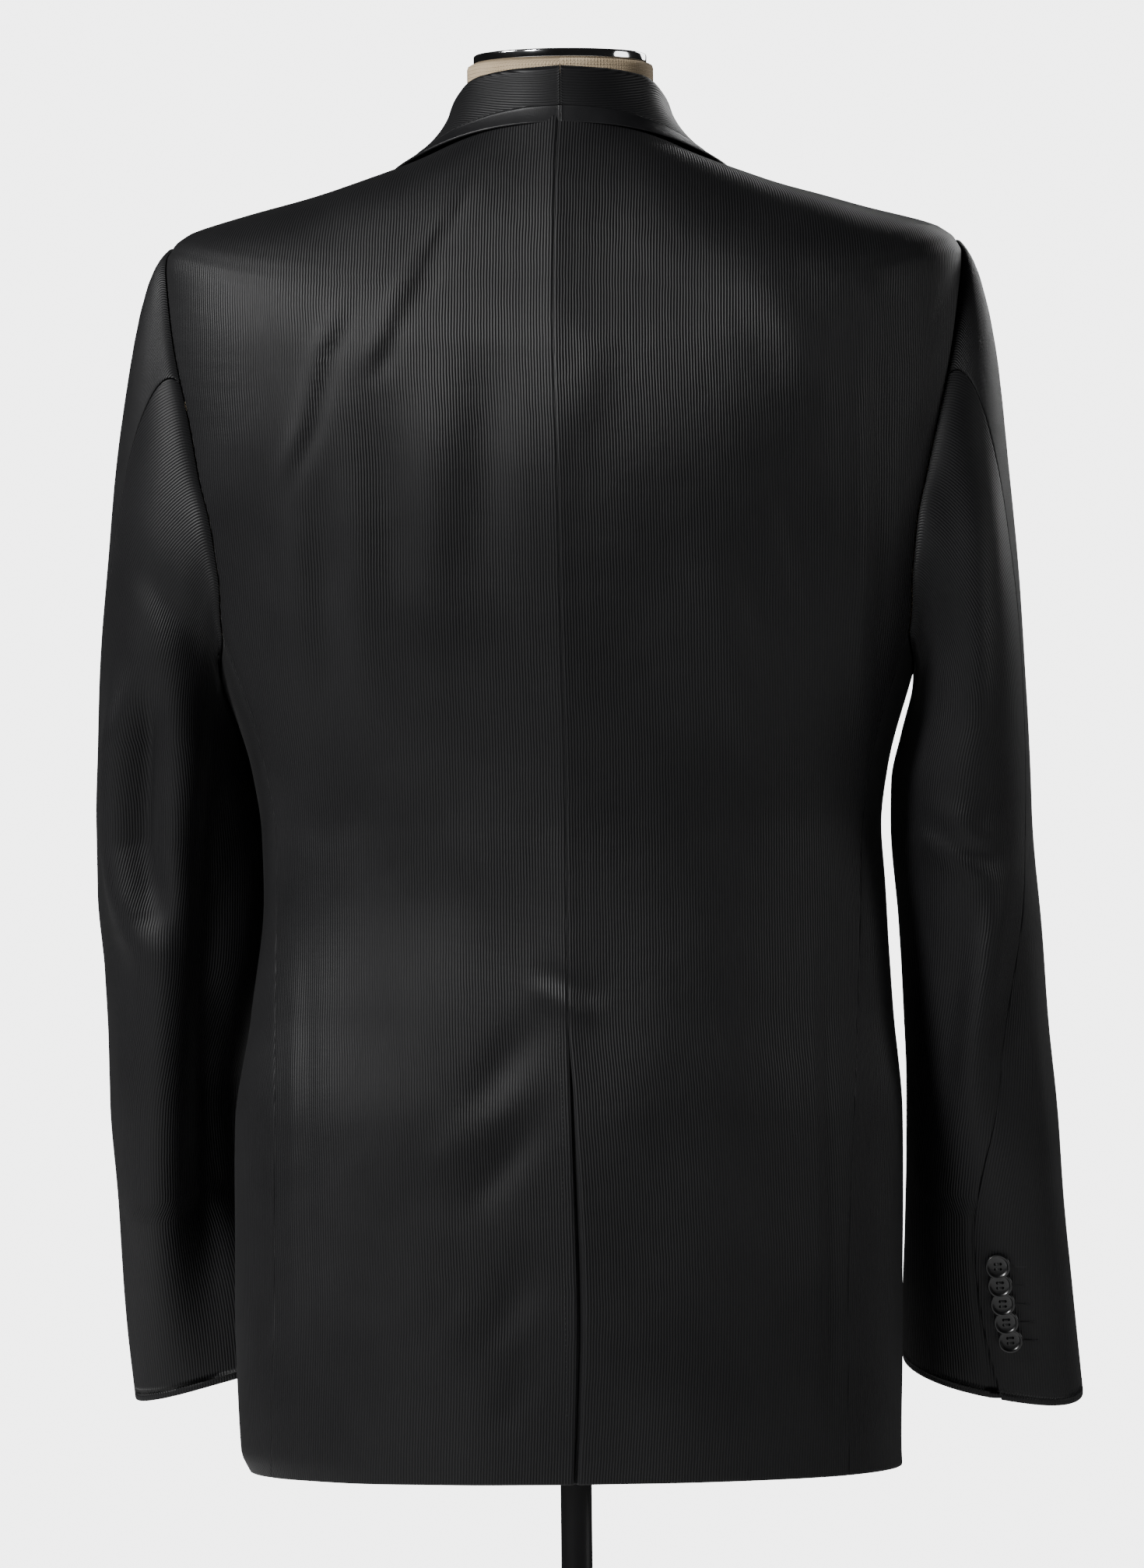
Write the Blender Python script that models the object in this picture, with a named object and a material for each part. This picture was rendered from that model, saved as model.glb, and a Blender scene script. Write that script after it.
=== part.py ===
"""A corded shawl-collar blazer on a limbless dress form, in metres, +Z up.

The garment's back faces -Y, so +X is the wearer's right. The origin is on the floor, under the form's pole.
Every cloth piece is a wall that follows one of three surfaces: the body, a sleeve or the collar. The body is a
family of closed rings. "run" names a ring: it is the height up the wearer's side, and past the shoulder point it
goes on along the shoulder to the neck. "around" is the place on a ring: 0 at the centre back, 0.5 at the side or
on the shoulder seam, and 1 at the centre front.
"""

import math

import bpy
import numpy as np

# Cloth
WALL = 0.0018
COLLAR_WALL = 0.0020
SEAM = 0.00015  # each piece stops this far short of its seam line
LEFT, RIGHT = -1, 1
NAMES = {LEFT: "left", RIGHT: "right"}

# Heights along the wearer's side
HEM = 0.700
VENT_TOP = 0.962
SEAM_TOP = 1.177  # the side-back seam meets the armhole here
ARMHOLE_LOW = 1.152
HEAD_CURVE = 1.382  # above this the armhole turns in to the shoulder point
POINT = 1.402  # the shoulder point
SHOULDER_TURN = 1.412  # from here the shoulder's slope is even
NECK = 1.557  # the neck seam: the shoulder point and 155 mm of shoulder

# Front closing
BUTTON_RUN = 1.050
RIGHT_LAPEL_END = 1.078  # below this the left front covers the right lapel
CROSSING_GAP = 0.0078  # between the two lapels' roll lines where the left one crosses
LAP_DEPTH = 0.0034  # the right front lies this much deeper where the left one covers it
LAP_SIDE = (0.022, 0.040)  # it rises again between these distances from the centre
LAP_TOP = (1.085, 1.125)  # and between these runs

# Centre vent
UNDERLAY_DEPTH = 0.0042
UNDERLAY_STRIP = ((0.0002, 0.92), (-0.013, 1.0), (-0.036, 1.0))  # past its fold: distance, share of the depth
FOLD_SET = 0.0012  # the fold itself stands this much further from the left flap
SLIT_ENDS = 0.0012  # the open slit's width at both ends
SLIT_SWELL = 0.0038  # how much wider it is in the middle

# Sleeves
SLEEVE_TOP = 1.120  # where the sleeve head has become a plain tube
SLEEVE_GAP = 0.0006

# Collar
BAND = 0.009
STAND_LIFT = 0.0012
EDGE_LIFT = 0.0036  # the collar's outer edge above the body
LAPEL_LIFT = 0.0052  # the lapel's fold above the body
LAPEL_TURN = ((0.0022, STAND_LIFT), (0.0031, 0.0022), (0.0020, 0.0042), (-0.0010, LAPEL_LIFT))
# above: the lapel's fold in section, as distance past the front's edge and height above the body
STAND_MIDDLE = (0.0015, 0.002)  # half way up, the stand stays this far in and this far down
STAND_TOP = (0.0004, 0.0035)  # and just under its roll this far
FALL_BEND = 0.10  # the fall bends down after this share of its way out
SHOULDER_SET = 0.002  # the collar's roll lies this much in front of the form's axis
ROLL_TURN = 0.0016  # how far the roll's top turns out
FALL_START = 0.0045  # how far out the fall starts from the roll

# Buttons
CUFF_BUTTON = 0.0144
FRONT_BUTTON = 0.0200
BUTTON_THICK = 0.0022
BUTTON_SECTION = ((0.86, 0.0), (1.0, 0.45), (0.94, 1.0), (0.78, 1.0), (0.66, 0.72))  # shares of radius and thickness
CUFF_PITCH = 0.0109
CUFF_TILT = math.radians(14.5)
CUFF_BUTTONS = 5
LOWEST_BUTTON = 0.784
BUTTON_TURN = -13.0  # degrees about the sleeve, from its back seam
SHANK = 0.0015
BUTTON_CLEAR = 0.0004
FRONT_BUTTON_RUN = 1.038
FRONT_BUTTON_LIFT = 0.0012

# Dress form
FORM_LOW = 0.760
FORM_RUNS = (0.760, 0.785, 0.850, 0.930, 1.000, 1.065, 1.120, 1.177, 1.235, 1.295, 1.350)
FORM_HEM_TURN = 0.012  # its lowest ring is drawn in by this much
FORM_CLEAR = 0.0065  # between the form and the cloth on the chest and the back
FORM_CLEAR_HIP = 0.006  # this much more at the hips
FORM_CLEAR_NECK = 0.004  # and at the neck
FORM_TOUCH = 0.0006  # the form carries the jacket this close under its shoulders
CARRY_RUN = (1.412, 1.442, 1.500, 1.530)  # it does so between these runs
CARRY_AROUND = (0.34, 0.42, 0.50, 0.54)  # and between these places on the rings
HIP_RUN = (0.80, 1.05)
NECK_FOOT = 1.468
NECK_EDGE = 0.002
NECK_RADIUS = 0.0535
LINEN_TOP = 1.504
CAP_RADIUS = 0.0497
CAP_TOP = 1.5098
CAP_EDGE = 0.0013
POLE_RADIUS = 0.009
BASE_RADIUS = 0.170
BASE_RIM = 0.006
BASE_CROWN = 0.012
BASE_EDGE = 0.002
BOSS_FOOT = 0.030
BOSS_RADIUS = 0.016
BOSS_HEIGHT = 0.022
BOSS_EDGE = 0.001
BOSS_FILLET = 0.003
CLEAR = 0.0003


def table(names, *rows):
    """Columns by name, in rising order of the first."""
    return {name: np.array(column, float) for name, column in zip(names.split(), zip(*sorted(rows)))}


# The body's rings, from the hem to the neck seam.
BODY = table(
    "run z_back z_side z_front half_left half_right y_back y_side y_front square_back square_front",
    (0.700, 0.700, 0.700, 0.692, 0.1870, 0.1872, -0.125, 0.000, 0.131, 2.30, 2.25),
    (0.712, 0.712, 0.712, 0.7055, 0.1922, 0.1868, -0.1258, 0.000, 0.1315, 2.30, 2.25),
    (0.760, 0.760, 0.760, 0.756, 0.1940, 0.1880, -0.128, 0.000, 0.133, 2.30, 2.25),
    (0.810, 0.810, 0.810, 0.808, 0.1944, 0.1890, -0.129, 0.000, 0.134, 2.30, 2.25),
    (0.900, 0.900, 0.900, 0.900, 0.1930, 0.1900, -0.127, 0.000, 0.134, 2.30, 2.25),
    (0.962, 0.962, 0.962, 0.962, 0.1830, 0.1848, -0.1195, 0.000, 0.132, 2.30, 2.25),
    (1.030, 1.030, 1.030, 1.030, 0.1755, 0.1815, -0.1125, 0.000, 0.129, 2.30, 2.25),
    (1.065, 1.065, 1.065, 1.065, 0.1760, 0.1795, -0.1118, 0.000, 0.129, 2.30, 2.25),
    (1.100, 1.100, 1.100, 1.100, 0.1810, 0.1840, -0.1142, 0.000, 0.132, 2.35, 2.30),
    (1.152, 1.152, 1.152, 1.152, 0.1980, 0.1980, -0.121, 0.000, 0.137, 2.45, 2.40),
    (1.200, 1.200, 1.200, 1.200, 0.2130, 0.2130, -0.127, 0.000, 0.140, 2.60, 2.45),
    (1.270, 1.268, 1.270, 1.265, 0.2260, 0.2240, -0.130, -0.002, 0.137, 2.70, 2.50),
    (1.350, 1.335, 1.350, 1.325, 0.2290, 0.2300, -0.123, -0.004, 0.122, 2.80, 2.60),
    (1.402, 1.375, 1.4035, 1.362, 0.2262, 0.2300, -0.111, -0.004, 0.107, 2.80, 2.60),
    (1.412, 1.3825, 1.4075, 1.3685, 0.2170, 0.2200, -0.1083, -0.0035, 0.1033, 2.75, 2.57),
    (1.480, 1.430, 1.4266, 1.408, 0.1500, 0.1500, -0.089, 0.000, 0.078, 2.50, 2.40),
    (1.557, 1.4715, 1.4470, 1.432, 0.0760, 0.0760, -0.0645, 0.002, 0.058, 2.20, 2.20),
)

# The seam between back and side panel: its distance from the centre, by run.
SIDE_BACK = table(
    "run left right",
    (0.700, 0.1730, 0.1540),
    (0.800, 0.1697, 0.1545),
    (0.930, 0.1680, 0.1610),
    (1.058, 0.1664, 0.1665),
    (1.109, 0.1737, 0.1740),
    (1.177, 0.1950, 0.1946),
)

# The seam between side panel and front, the same way.
SIDE_FRONT = table(
    "run left right",
    (0.700, 0.1580, 0.1580),
    (0.930, 0.1560, 0.1560),
    (1.058, 0.1500, 0.1500),
    (1.177, 0.1969, 0.1969),
)

# The armhole's edges behind and in front, as places on the rings.
ARMHOLE = table(
    "run behind before",
    (1.177, 0.394, 0.600),
    (1.210, 0.369, 0.618),
    (1.240, 0.364, 0.618),
    (1.267, 0.372, 0.612),
    (1.300, 0.383, 0.600),
    (1.335, 0.404, 0.583),
    (1.365, 0.428, 0.562),
    (1.385, 0.452, 0.540),
    (1.396, 0.474, 0.522),
    (1.402, 0.500, 0.500),
)

# How far each front's free edge is from the centre, on its own side, below the button.
FRONT_EDGE = table(
    "run out",
    (0.700, 0.0720),
    (0.704, 0.0560),
    (0.712, 0.0410),
    (0.730, 0.0230),
    (0.760, 0.0070),
    (0.800, -0.0050),
    (0.860, -0.0130),
    (0.950, -0.0180),
    (1.050, -0.0180),
)

# The roll line and the lapel's outer edge, above the button.
LAPEL = table(
    "run roll edge",
    (1.050, -0.0180, -0.0140),
    (1.062, -0.0130, 0.0040),
    (1.080, -0.0065, 0.0220),
    (1.118, 0.0055, 0.0500),
    (1.160, 0.0165, 0.0740),
    (1.220, 0.0300, 0.0980),
    (1.290, 0.0440, 0.1160),
    (1.350, 0.0540, 0.1240),
    (1.402, 0.0610, 0.1270),
    (1.440, 0.0655, 0.1270),
    (1.500, 0.0690, 0.1250),
    (1.557, 0.0700, 0.0745),
)

# The collar round the neck. station 0 is the centre back, 1 the shoulder seam, 2 the head of the lapel.
COLLAR = table(
    "station seam_around turn roll_z roll_out roll_run edge_around edge_run neck sag",
    (0.00, 0.000, 0.0, 1.4975, 0.0608, 1.557, 0.000, 1.5440, 1.0, 0.62),
    (0.50, 0.220, 47.0, 1.4935, 0.0612, 1.557, 0.235, 1.5430, 1.0, 0.62),
    (0.80, 0.390, 72.0, 1.4835, 0.0600, 1.557, 0.370, 1.5400, 1.0, 0.62),
    (1.00, 0.500, 90.0, 1.4740, 0.0600, 1.557, 0.485, 1.5375, 1.0, 0.60),
    (1.30, 0.590, 105.0, 1.4620, 0.0615, 1.550, 0.600, 1.5210, 0.80, 0.50),
    (1.65, 0.660, 120.0, 1.4480, 0.0660, 1.530, 0.683, 1.4850, 0.30, 0.44),
    (2.00, 0.700, 130.0, 1.4350, 0.0700, 1.500, 0.744, 1.4400, 0.0, 0.42),
)
LAPEL_HEAD = 1.500
HEAD_DROP = 0.060  # at the lapel's head its outer edge lies this much lower than its roll line

# The sleeves, from the foot of the sleeve head to the cuff. rise is how much the ring climbs towards the front,
# and lift how much it climbs towards the body.
SLEEVE = {
    LEFT: table(
        "z inner outer y_mid deep square rise lift",
        (1.1200, 0.1864, 0.2711, 0.027, 0.0740, 2.00, 0.00, 0.00),
        (1.0740, 0.1765, 0.2733, 0.036, 0.0680, 2.00, 0.00, 0.03),
        (1.0350, 0.1735, 0.2734, 0.042, 0.0650, 2.00, 0.04, 0.06),
        (0.9900, 0.1760, 0.2698, 0.048, 0.0640, 2.05, 0.08, 0.08),
        (0.9520, 0.1840, 0.2687, 0.058, 0.0640, 2.10, 0.10, 0.10),
        (0.9170, 0.1900, 0.2687, 0.068, 0.0620, 2.15, 0.12, 0.12),
        (0.8665, 0.1880, 0.2661, 0.084, 0.0570, 2.25, 0.14, 0.16),
        (0.8290, 0.1790, 0.2648, 0.095, 0.0510, 2.35, 0.14, 0.18),
        (0.7830, 0.1650, 0.2620, 0.108, 0.0440, 2.45, 0.13, 0.21),
        (0.7480, 0.1560, 0.2588, 0.118, 0.0395, 2.55, 0.11, 0.27),
    ),
    RIGHT: table(
        "z inner outer y_mid deep square rise lift",
        (1.1200, 0.1925, 0.2650, 0.010, 0.0745, 2.00, 0.00, 0.00),
        (1.0900, 0.1860, 0.2665, 0.014, 0.0715, 2.00, 0.00, 0.02),
        (1.0660, 0.1855, 0.2676, 0.017, 0.0690, 2.00, 0.02, 0.03),
        (1.0100, 0.1895, 0.2719, 0.021, 0.0640, 2.00, 0.06, 0.06),
        (0.9560, 0.1920, 0.2758, 0.026, 0.0610, 2.05, 0.13, 0.08),
        (0.9120, 0.1935, 0.2799, 0.032, 0.0570, 2.10, 0.20, 0.10),
        (0.8685, 0.1935, 0.2836, 0.042, 0.0520, 2.15, 0.26, 0.13),
        (0.8235, 0.1925, 0.2882, 0.054, 0.0470, 2.20, 0.31, 0.16),
        (0.7860, 0.1915, 0.2918, 0.066, 0.0430, 2.25, 0.32, 0.18),
        (0.7450, 0.1915, 0.2965, 0.079, 0.0400, 2.30, 0.31, 0.20),
    ),
}

# The sleeves' back and front seams: the turn about the sleeve, from its outermost line towards the back, by
# down, which is 0 to 1 over the sleeve head and then 1 to 2 down to the cuff.
SLEEVE_SEAM = {
    LEFT: table(
        "down behind before",
        (0.0, 60.7, -125.2),
        (0.3, 50.0, -122.0),
        (0.5, 40.0, -121.0),
        (0.75, 28.0, -122.0),
        (1.0, 16.0, -124.0),
        (1.3, -4.0, -128.0),
        (1.6, -20.0, -134.0),
        (2.0, -32.0, -140.0),
    ),
    RIGHT: table(
        "down behind before",
        (0.0, 60.7, -125.2),
        (0.5, 44.0, -120.0),
        (1.0, 26.0, -122.0),
        (1.25, 42.0, -122.0),
        (1.5, 76.0, -118.0),
        (1.75, 100.0, -112.0),
        (2.0, 88.0, -112.0),
    ),
}

FACING_BACK = (0.15, 0.75)  # the folds of the back fade out where the cloth turns to the side

# Folds of the back: a soft trough (depth below 0) or ridge along a line, by distance from the centre and height.
BACK_FOLDS = table(
    "x1 z1 x2 z2 width depth",
    (-0.055, 1.426, -0.100, 1.352, 0.014, -0.0026),
    (-0.118, 1.360, -0.157, 1.256, 0.014, -0.0028),
    (-0.082, 1.372, -0.107, 1.250, 0.013, -0.0024),
    (-0.134, 1.262, -0.136, 1.130, 0.013, -0.0026),
    (-0.095, 1.300, -0.095, 1.190, 0.012, -0.0016),
    (-0.043, 1.335, -0.044, 1.235, 0.012, -0.0018),
    (-0.152, 1.262, -0.152, 1.150, 0.011, 0.0022),
    (-0.118, 1.262, -0.120, 1.140, 0.012, 0.0024),
    (-0.074, 1.300, -0.075, 1.190, 0.012, 0.0018),
    (0.112, 1.374, 0.154, 1.290, 0.014, 0.0024),
    (0.124, 1.285, 0.148, 1.160, 0.013, -0.0024),
    (0.102, 1.232, 0.118, 1.168, 0.011, -0.0016),
    (0.086, 1.205, 0.112, 1.100, 0.013, 0.0018),
    (0.022, 1.350, 0.004, 1.280, 0.011, 0.0014),
    (-0.022, 0.958, -0.068, 0.894, 0.013, -0.0026),
    (-0.012, 0.918, -0.060, 0.850, 0.014, -0.0022),
    (-0.022, 0.820, -0.046, 0.732, 0.012, -0.0024),
    (-0.040, 0.940, -0.080, 0.868, 0.013, 0.0018),
    (0.164, 1.030, 0.186, 0.900, 0.012, 0.0024),
)


def smooth(places, values, place):
    """The value at a place on a smooth curve through the points, which never overshoots them."""
    gaps = np.diff(places)
    slopes = np.diff(values) / gaps
    leans = np.concatenate([slopes[:1], np.zeros(len(slopes) - 1), slopes[-1:]])
    for i in range(1, len(slopes)):
        if slopes[i - 1] * slopes[i] > 0:
            ahead = 2 * gaps[i] + gaps[i - 1]
            behind = gaps[i] + 2 * gaps[i - 1]
            leans[i] = (ahead + behind) / (ahead / slopes[i - 1] + behind / slopes[i])
    place = min(max(place, places[0]), places[-1])
    i = min(int(np.searchsorted(places, place, side="right")) - 1, len(gaps) - 1)
    t = (place - places[i]) / gaps[i]
    ends = values[i] * (1 + 2 * t) * (1 - t) ** 2 + values[i + 1] * t * t * (3 - 2 * t)
    return ends + gaps[i] * (leans[i] * t * (1 - t) ** 2 + leans[i + 1] * t * t * (t - 1))


def read(rows, place):
    """Every column of a table at one place of its first column."""
    first, *rest = rows
    return {name: smooth(rows[first], rows[name], place) for name in rest}


def ease(low, high, value):
    """0 below low, 1 above high, and smooth between."""
    t = min(max((value - low) / (high - low), 0.0), 1.0)
    return t * t * (3 - 2 * t)


def unit(vectors):
    return vectors / np.linalg.norm(vectors, axis=-1, keepdims=True)


# The body's surface

RING_STEPS = 70
_rings = {}


def ring(side, run):
    """One side of the ring at run: (around, points), from the centre back to the centre front."""
    key = (side, round(run, 7))
    if key not in _rings:
        at = read(BODY, run)
        half = at["half_left"] if side == LEFT else at["half_right"]
        angle = np.linspace(0, math.pi / 2, RING_STEPS)
        halves = []
        for end in ("back", "front"):
            power = 2 / at["square_" + end]
            out = half * np.sin(angle) ** power
            deep = at["y_side"] + (at["y_" + end] - at["y_side"]) * np.cos(angle).clip(0) ** power
            high = at["z_side"] + (at["z_" + end] - at["z_side"]) * np.cos(angle) ** 2
            points = np.stack([side * out, deep, high], axis=1)
            lengths = np.concatenate([[0], np.cumsum(np.linalg.norm(np.diff(points, axis=0), axis=1))])
            halves.append((0.5 * lengths / lengths[-1], points))
        (back_around, back), (front_around, front) = halves
        around = np.concatenate([back_around, 1 - front_around[::-1][1:]])
        _rings[key] = around, np.concatenate([back, front[::-1][1:]])
    return _rings[key]


def body(side, around, run):
    """A point of the smooth body surface. Past either centre line it goes on round the other side."""
    if around < 0:
        return body(-side, -around, run)
    if around > 1:
        return body(-side, 2 - around, run)
    places, points = ring(side, run)
    return np.array([np.interp(around, places, points[:, axis]) for axis in range(3)])


def body_normal(side, around, run):
    """The outward direction of the body surface."""
    step = 0.004
    run = min(run, NECK - step)
    across = body(side, around + step, run) - body(side, around - step, run)
    along = body(side, around, run + step) - body(side, around, max(run - step, HEM))
    return unit(np.cross(across, along) * side)


def around_at(side, run, out, front):
    """The place on a ring that lies out from the centre line, in its back or its front half."""
    places, points = ring(side, run)
    if out < 0:
        other = around_at(-side, run, -out, front)
        return 2 - other if front else -other
    chosen = places >= 0.5 if front else places <= 0.5
    outs, places = np.abs(points[chosen, 0]), places[chosen]
    return float(np.interp(out, outs[::-1], places[::-1]) if front else np.interp(out, outs, places))


def aside(side, run, front, distance):
    """A distance along a ring, as a difference in around."""
    around = 0.75 if front else 0.25
    step = 0.01
    return distance * step / np.linalg.norm(body(side, around + step, run) - body(side, around, run))


def fold_height(rows, x, z):
    """How far the folds of a table lift or sink the cloth at a place."""
    height = 0.0
    for x1, z1, x2, z2, width, depth in zip(*rows.values()):
        along = np.array([x2 - x1, z2 - z1])
        t = np.dot([x - x1, z - z1], along) / np.dot(along, along)
        near = np.array([x1, z1]) + min(max(t, 0.1), 0.9) * along
        away = math.hypot(x - near[0], (z - near[1]) * 0.8)
        height += depth * math.exp(-((away / width) ** 2))
    return height


def cloth(side, around, run):
    """A point of the body's cloth with its folds, and its outward direction."""
    point, normal = body(side, around, run), body_normal(side, around, run)
    facing = ease(*FACING_BACK, -normal[1])
    if facing > 0:
        point = point + normal * facing * fold_height(BACK_FOLDS, point[0], point[2])
    return point, normal


# Seam and edge lines of the body's panels


def side_back(side, run):
    return around_at(side, run, read(SIDE_BACK, run)[NAMES[side]], front=False)


def side_front(side, run):
    return around_at(side, run, read(SIDE_FRONT, run)[NAMES[side]], front=True)


def armhole(side, run, front):
    if run >= POINT - 1e-6:
        return 0.5
    return read(ARMHOLE, run)["before" if front else "behind"]


def front_edge(side, run):
    rows, name = (FRONT_EDGE, "out") if run < BUTTON_RUN else (LAPEL, "roll")
    return around_at(side, run, smooth(rows["run"], rows[name], run), front=True)


def roll_line(side, run):
    """Where a lapel turns over. The right one stops at the left one's edge where they cross."""
    out = smooth(LAPEL["run"], LAPEL["roll"], run)
    if side == RIGHT:
        out = max(out, CROSSING_GAP - out)
    return around_at(side, run, out, front=True)


def back_runs():
    """The rows that the body's panels share."""
    stretches = (
        (HEM, VENT_TOP, 8),
        (VENT_TOP, SEAM_TOP, 8),
        (SEAM_TOP, HEAD_CURVE, 8),
        (HEAD_CURVE, POINT, 4),
        (POINT, SHOULDER_TURN, 2),
        (SHOULDER_TURN, NECK, 6),
    )
    return np.concatenate([[HEM], *[np.linspace(low, high, count)[1:] for low, high, count in stretches]])


# Making solids


def finish(name, colour, roughness, metallic=0.0):
    material = bpy.data.materials.new(name)
    material.use_nodes = True
    shader = material.node_tree.nodes["Principled BSDF"]
    shader.inputs["Base Color"].default_value = (*colour, 1.0)
    shader.inputs["Roughness"].default_value = roughness
    shader.inputs["Metallic"].default_value = metallic
    return material


def add_object(name, points, faces, material, sharp=math.radians(50)):
    mesh = bpy.data.meshes.new(name)
    mesh.from_pydata([tuple(map(float, point)) for point in points], [], faces)
    mesh.materials.append(material)
    mesh.shade_smooth()
    mesh.set_sharp_from_angle(angle=sharp)
    made = bpy.data.objects.new(name, mesh)
    bpy.context.scene.collection.objects.link(made)
    return made


def grid_faces(points, columns):
    """The triangles of a grid of points, each cell cut along its shorter diagonal."""
    points = np.asarray(points)
    faces = []
    for r in range(len(points) // columns - 1):
        for c in range(columns - 1):
            a = r * columns + c
            b, d, e = a + 1, a + columns, a + columns + 1
            if np.linalg.norm(points[a] - points[e]) < np.linalg.norm(points[b] - points[d]):
                faces += [(a, b, e), (a, e, d)]
            else:
                faces += [(a, b, d), (b, e, d)]
    return faces


def add_wall(name, points, normals, faces, material, thickness=WALL):
    """A closed wall: the faces, the same faces moved in by the thickness, and a rim along every free edge."""
    points, normals = np.asarray(points), np.asarray(normals)
    first = faces[len(faces) // 2]
    a, b, c = points[list(first)]
    if np.dot(np.cross(b - a, c - a), normals[first[0]]) < 0:
        faces = [tuple(reversed(face)) for face in faces]
    count = len(points)
    edges = {(face[i], face[(i + 1) % 3]) for face in faces for i in range(3)}
    rims = [(b, a, a + count, b + count) for a, b in sorted(edges) if (b, a) not in edges]
    inner = [tuple(i + count for i in reversed(face)) for face in faces]
    return add_object(name, np.vstack([points, points - normals * thickness]), faces + inner + rims, material)


def add_turned(name, profile, sides, material, place=(0, 0, 0), axis=(0, 0, 1)):
    """A solid turned about an axis: profile is (radius, height) from the bottom's centre to the top's."""
    axis = unit(np.array(axis, float))
    helper = np.array([1.0, 0, 0]) if abs(axis[0]) < 0.8 else np.array([0, 1.0, 0])
    across = unit(np.cross(axis, helper))
    other = np.cross(axis, across)
    place = np.array(place, float)
    points, faces = [place + axis * profile[0][1]], []
    rings = profile[1:-1]
    for radius, height in rings:
        for i in range(sides):
            turn = 2 * math.pi * i / sides
            points.append(place + axis * height + radius * (across * math.cos(turn) + other * math.sin(turn)))
    points.append(place + axis * profile[-1][1])
    last = len(points) - 1
    for i in range(sides):
        j = (i + 1) % sides
        faces.append((0, 1 + j, 1 + i))
        for r in range(len(rings) - 1):
            low, high = 1 + r * sides, 1 + (r + 1) * sides
            faces += [(low + i, low + j, high + j), (low + i, high + j, high + i)]
        top = 1 + (len(rings) - 1) * sides
        faces.append((top + i, top + j, last))
    return add_object(name, points, faces, material)


# Panels of the body

CORNER_ROWS = (0.004, 0.012, 0.024)  # more rows above the hem, for the fronts' round corners
BACK_COLUMNS = 11
FRONT_COLUMNS = 10
SIDE_COLUMNS = 5


def panel_grid(side, edges, runs, columns, shift=None):
    """A panel of the body between two edges, given as a function of run that returns both places."""
    points, normals = [], []
    for run in runs:
        low, high = edges(run)
        for part in np.linspace(0, 1, columns):
            point, normal = cloth(side, low + (high - low) * part, run)
            if shift:
                point = point + shift(point, run) * normal
            points.append(point)
            normals.append(normal)
    return points, normals, grid_faces(points, columns)


def vent_slit(run):
    """How far the right panel's fold stands from the left flap's edge, over the vent."""
    if run > VENT_TOP:
        return 0.0
    share = (run - HEM) / (VENT_TOP - HEM)
    return SLIT_ENDS + SLIT_SWELL * math.sin(math.pi * share) ** 0.8


def add_backs(material):
    runs = back_runs()
    for side in (LEFT, RIGHT):

        def edges(run, side=side):
            trim = aside(side, run, False, SEAM)
            low = trim if side == LEFT else trim + aside(side, run, False, vent_slit(run))
            if run <= SEAM_TOP + 1e-6:
                return low, side_back(side, run) - trim
            return low, armhole(side, run, False) - trim

        points, normals, faces = panel_grid(side, edges, runs, BACK_COLUMNS)
        if side == RIGHT:
            # The underlay folds in at the vent and passes behind the left flap.
            vent_rows = [i for i, run in enumerate(runs) if run <= VENT_TOP + 1e-6]
            strip = UNDERLAY_STRIP
            start = len(points)
            for i in vent_rows:
                fold = points[i * BACK_COLUMNS]
                for out, depth in strip:
                    x = fold[0] + out - (FOLD_SET if out > 0 else 0.0)
                    behind = around_at(LEFT, runs[i], -x, False) if x < 0 else -around_at(RIGHT, runs[i], x, False)
                    point, normal = body(LEFT, behind, runs[i]), body_normal(LEFT, behind, runs[i])
                    points.append(point - normal * UNDERLAY_DEPTH * depth)
                    normals.append(normal)
            for r in vent_rows[:-1]:
                row = [r * BACK_COLUMNS, *[start + r * len(strip) + k for k in range(len(strip))]]
                above = [(r + 1) * BACK_COLUMNS, *[start + (r + 1) * len(strip) + k for k in range(len(strip))]]
                for k in range(len(strip)):
                    faces += [(row[k + 1], row[k], above[k]), (row[k + 1], above[k], above[k + 1])]
        add_wall("back_" + NAMES[side], points, normals, faces, material)


def side_top(side, around):
    """The armhole's low curve, which ends the side panel."""
    low, high = side_back(side, SEAM_TOP), side_front(side, SEAM_TOP)
    share = min(max((around - low) / (high - low), 0.0), 1.0)
    return SEAM_TOP - (SEAM_TOP - ARMHOLE_LOW) * math.sin(math.pi * share) ** 0.7


def add_sides(material):
    for side in (LEFT, RIGHT):
        runs = [run for run in back_runs() if run <= SEAM_TOP + 1e-6]
        points, normals = [], []
        for run in runs:
            low = side_back(side, run) + aside(side, run, False, SEAM)
            high = side_front(side, run) - aside(side, run, True, SEAM)
            share = (run - HEM) / (SEAM_TOP - HEM)
            for part in np.linspace(0, 1, SIDE_COLUMNS + 1):
                around = low + (high - low) * part
                top_low, top_high = side_back(side, SEAM_TOP), side_front(side, SEAM_TOP)
                top = side_top(side, top_low + (top_high - top_low) * part)
                height = HEM + (top - HEM) * share
                point, normal = cloth(side, around, height)
                points.append(point)
                normals.append(normal)
        faces = grid_faces(points, SIDE_COLUMNS + 1)
        add_wall("side_" + NAMES[side], points, normals, faces, material)


def under_lap(point, run):
    """The right front sinks where the left front covers it."""
    return -LAP_DEPTH * (1 - ease(*LAP_SIDE, point[0])) * (1 - ease(*LAP_TOP, run))


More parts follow.
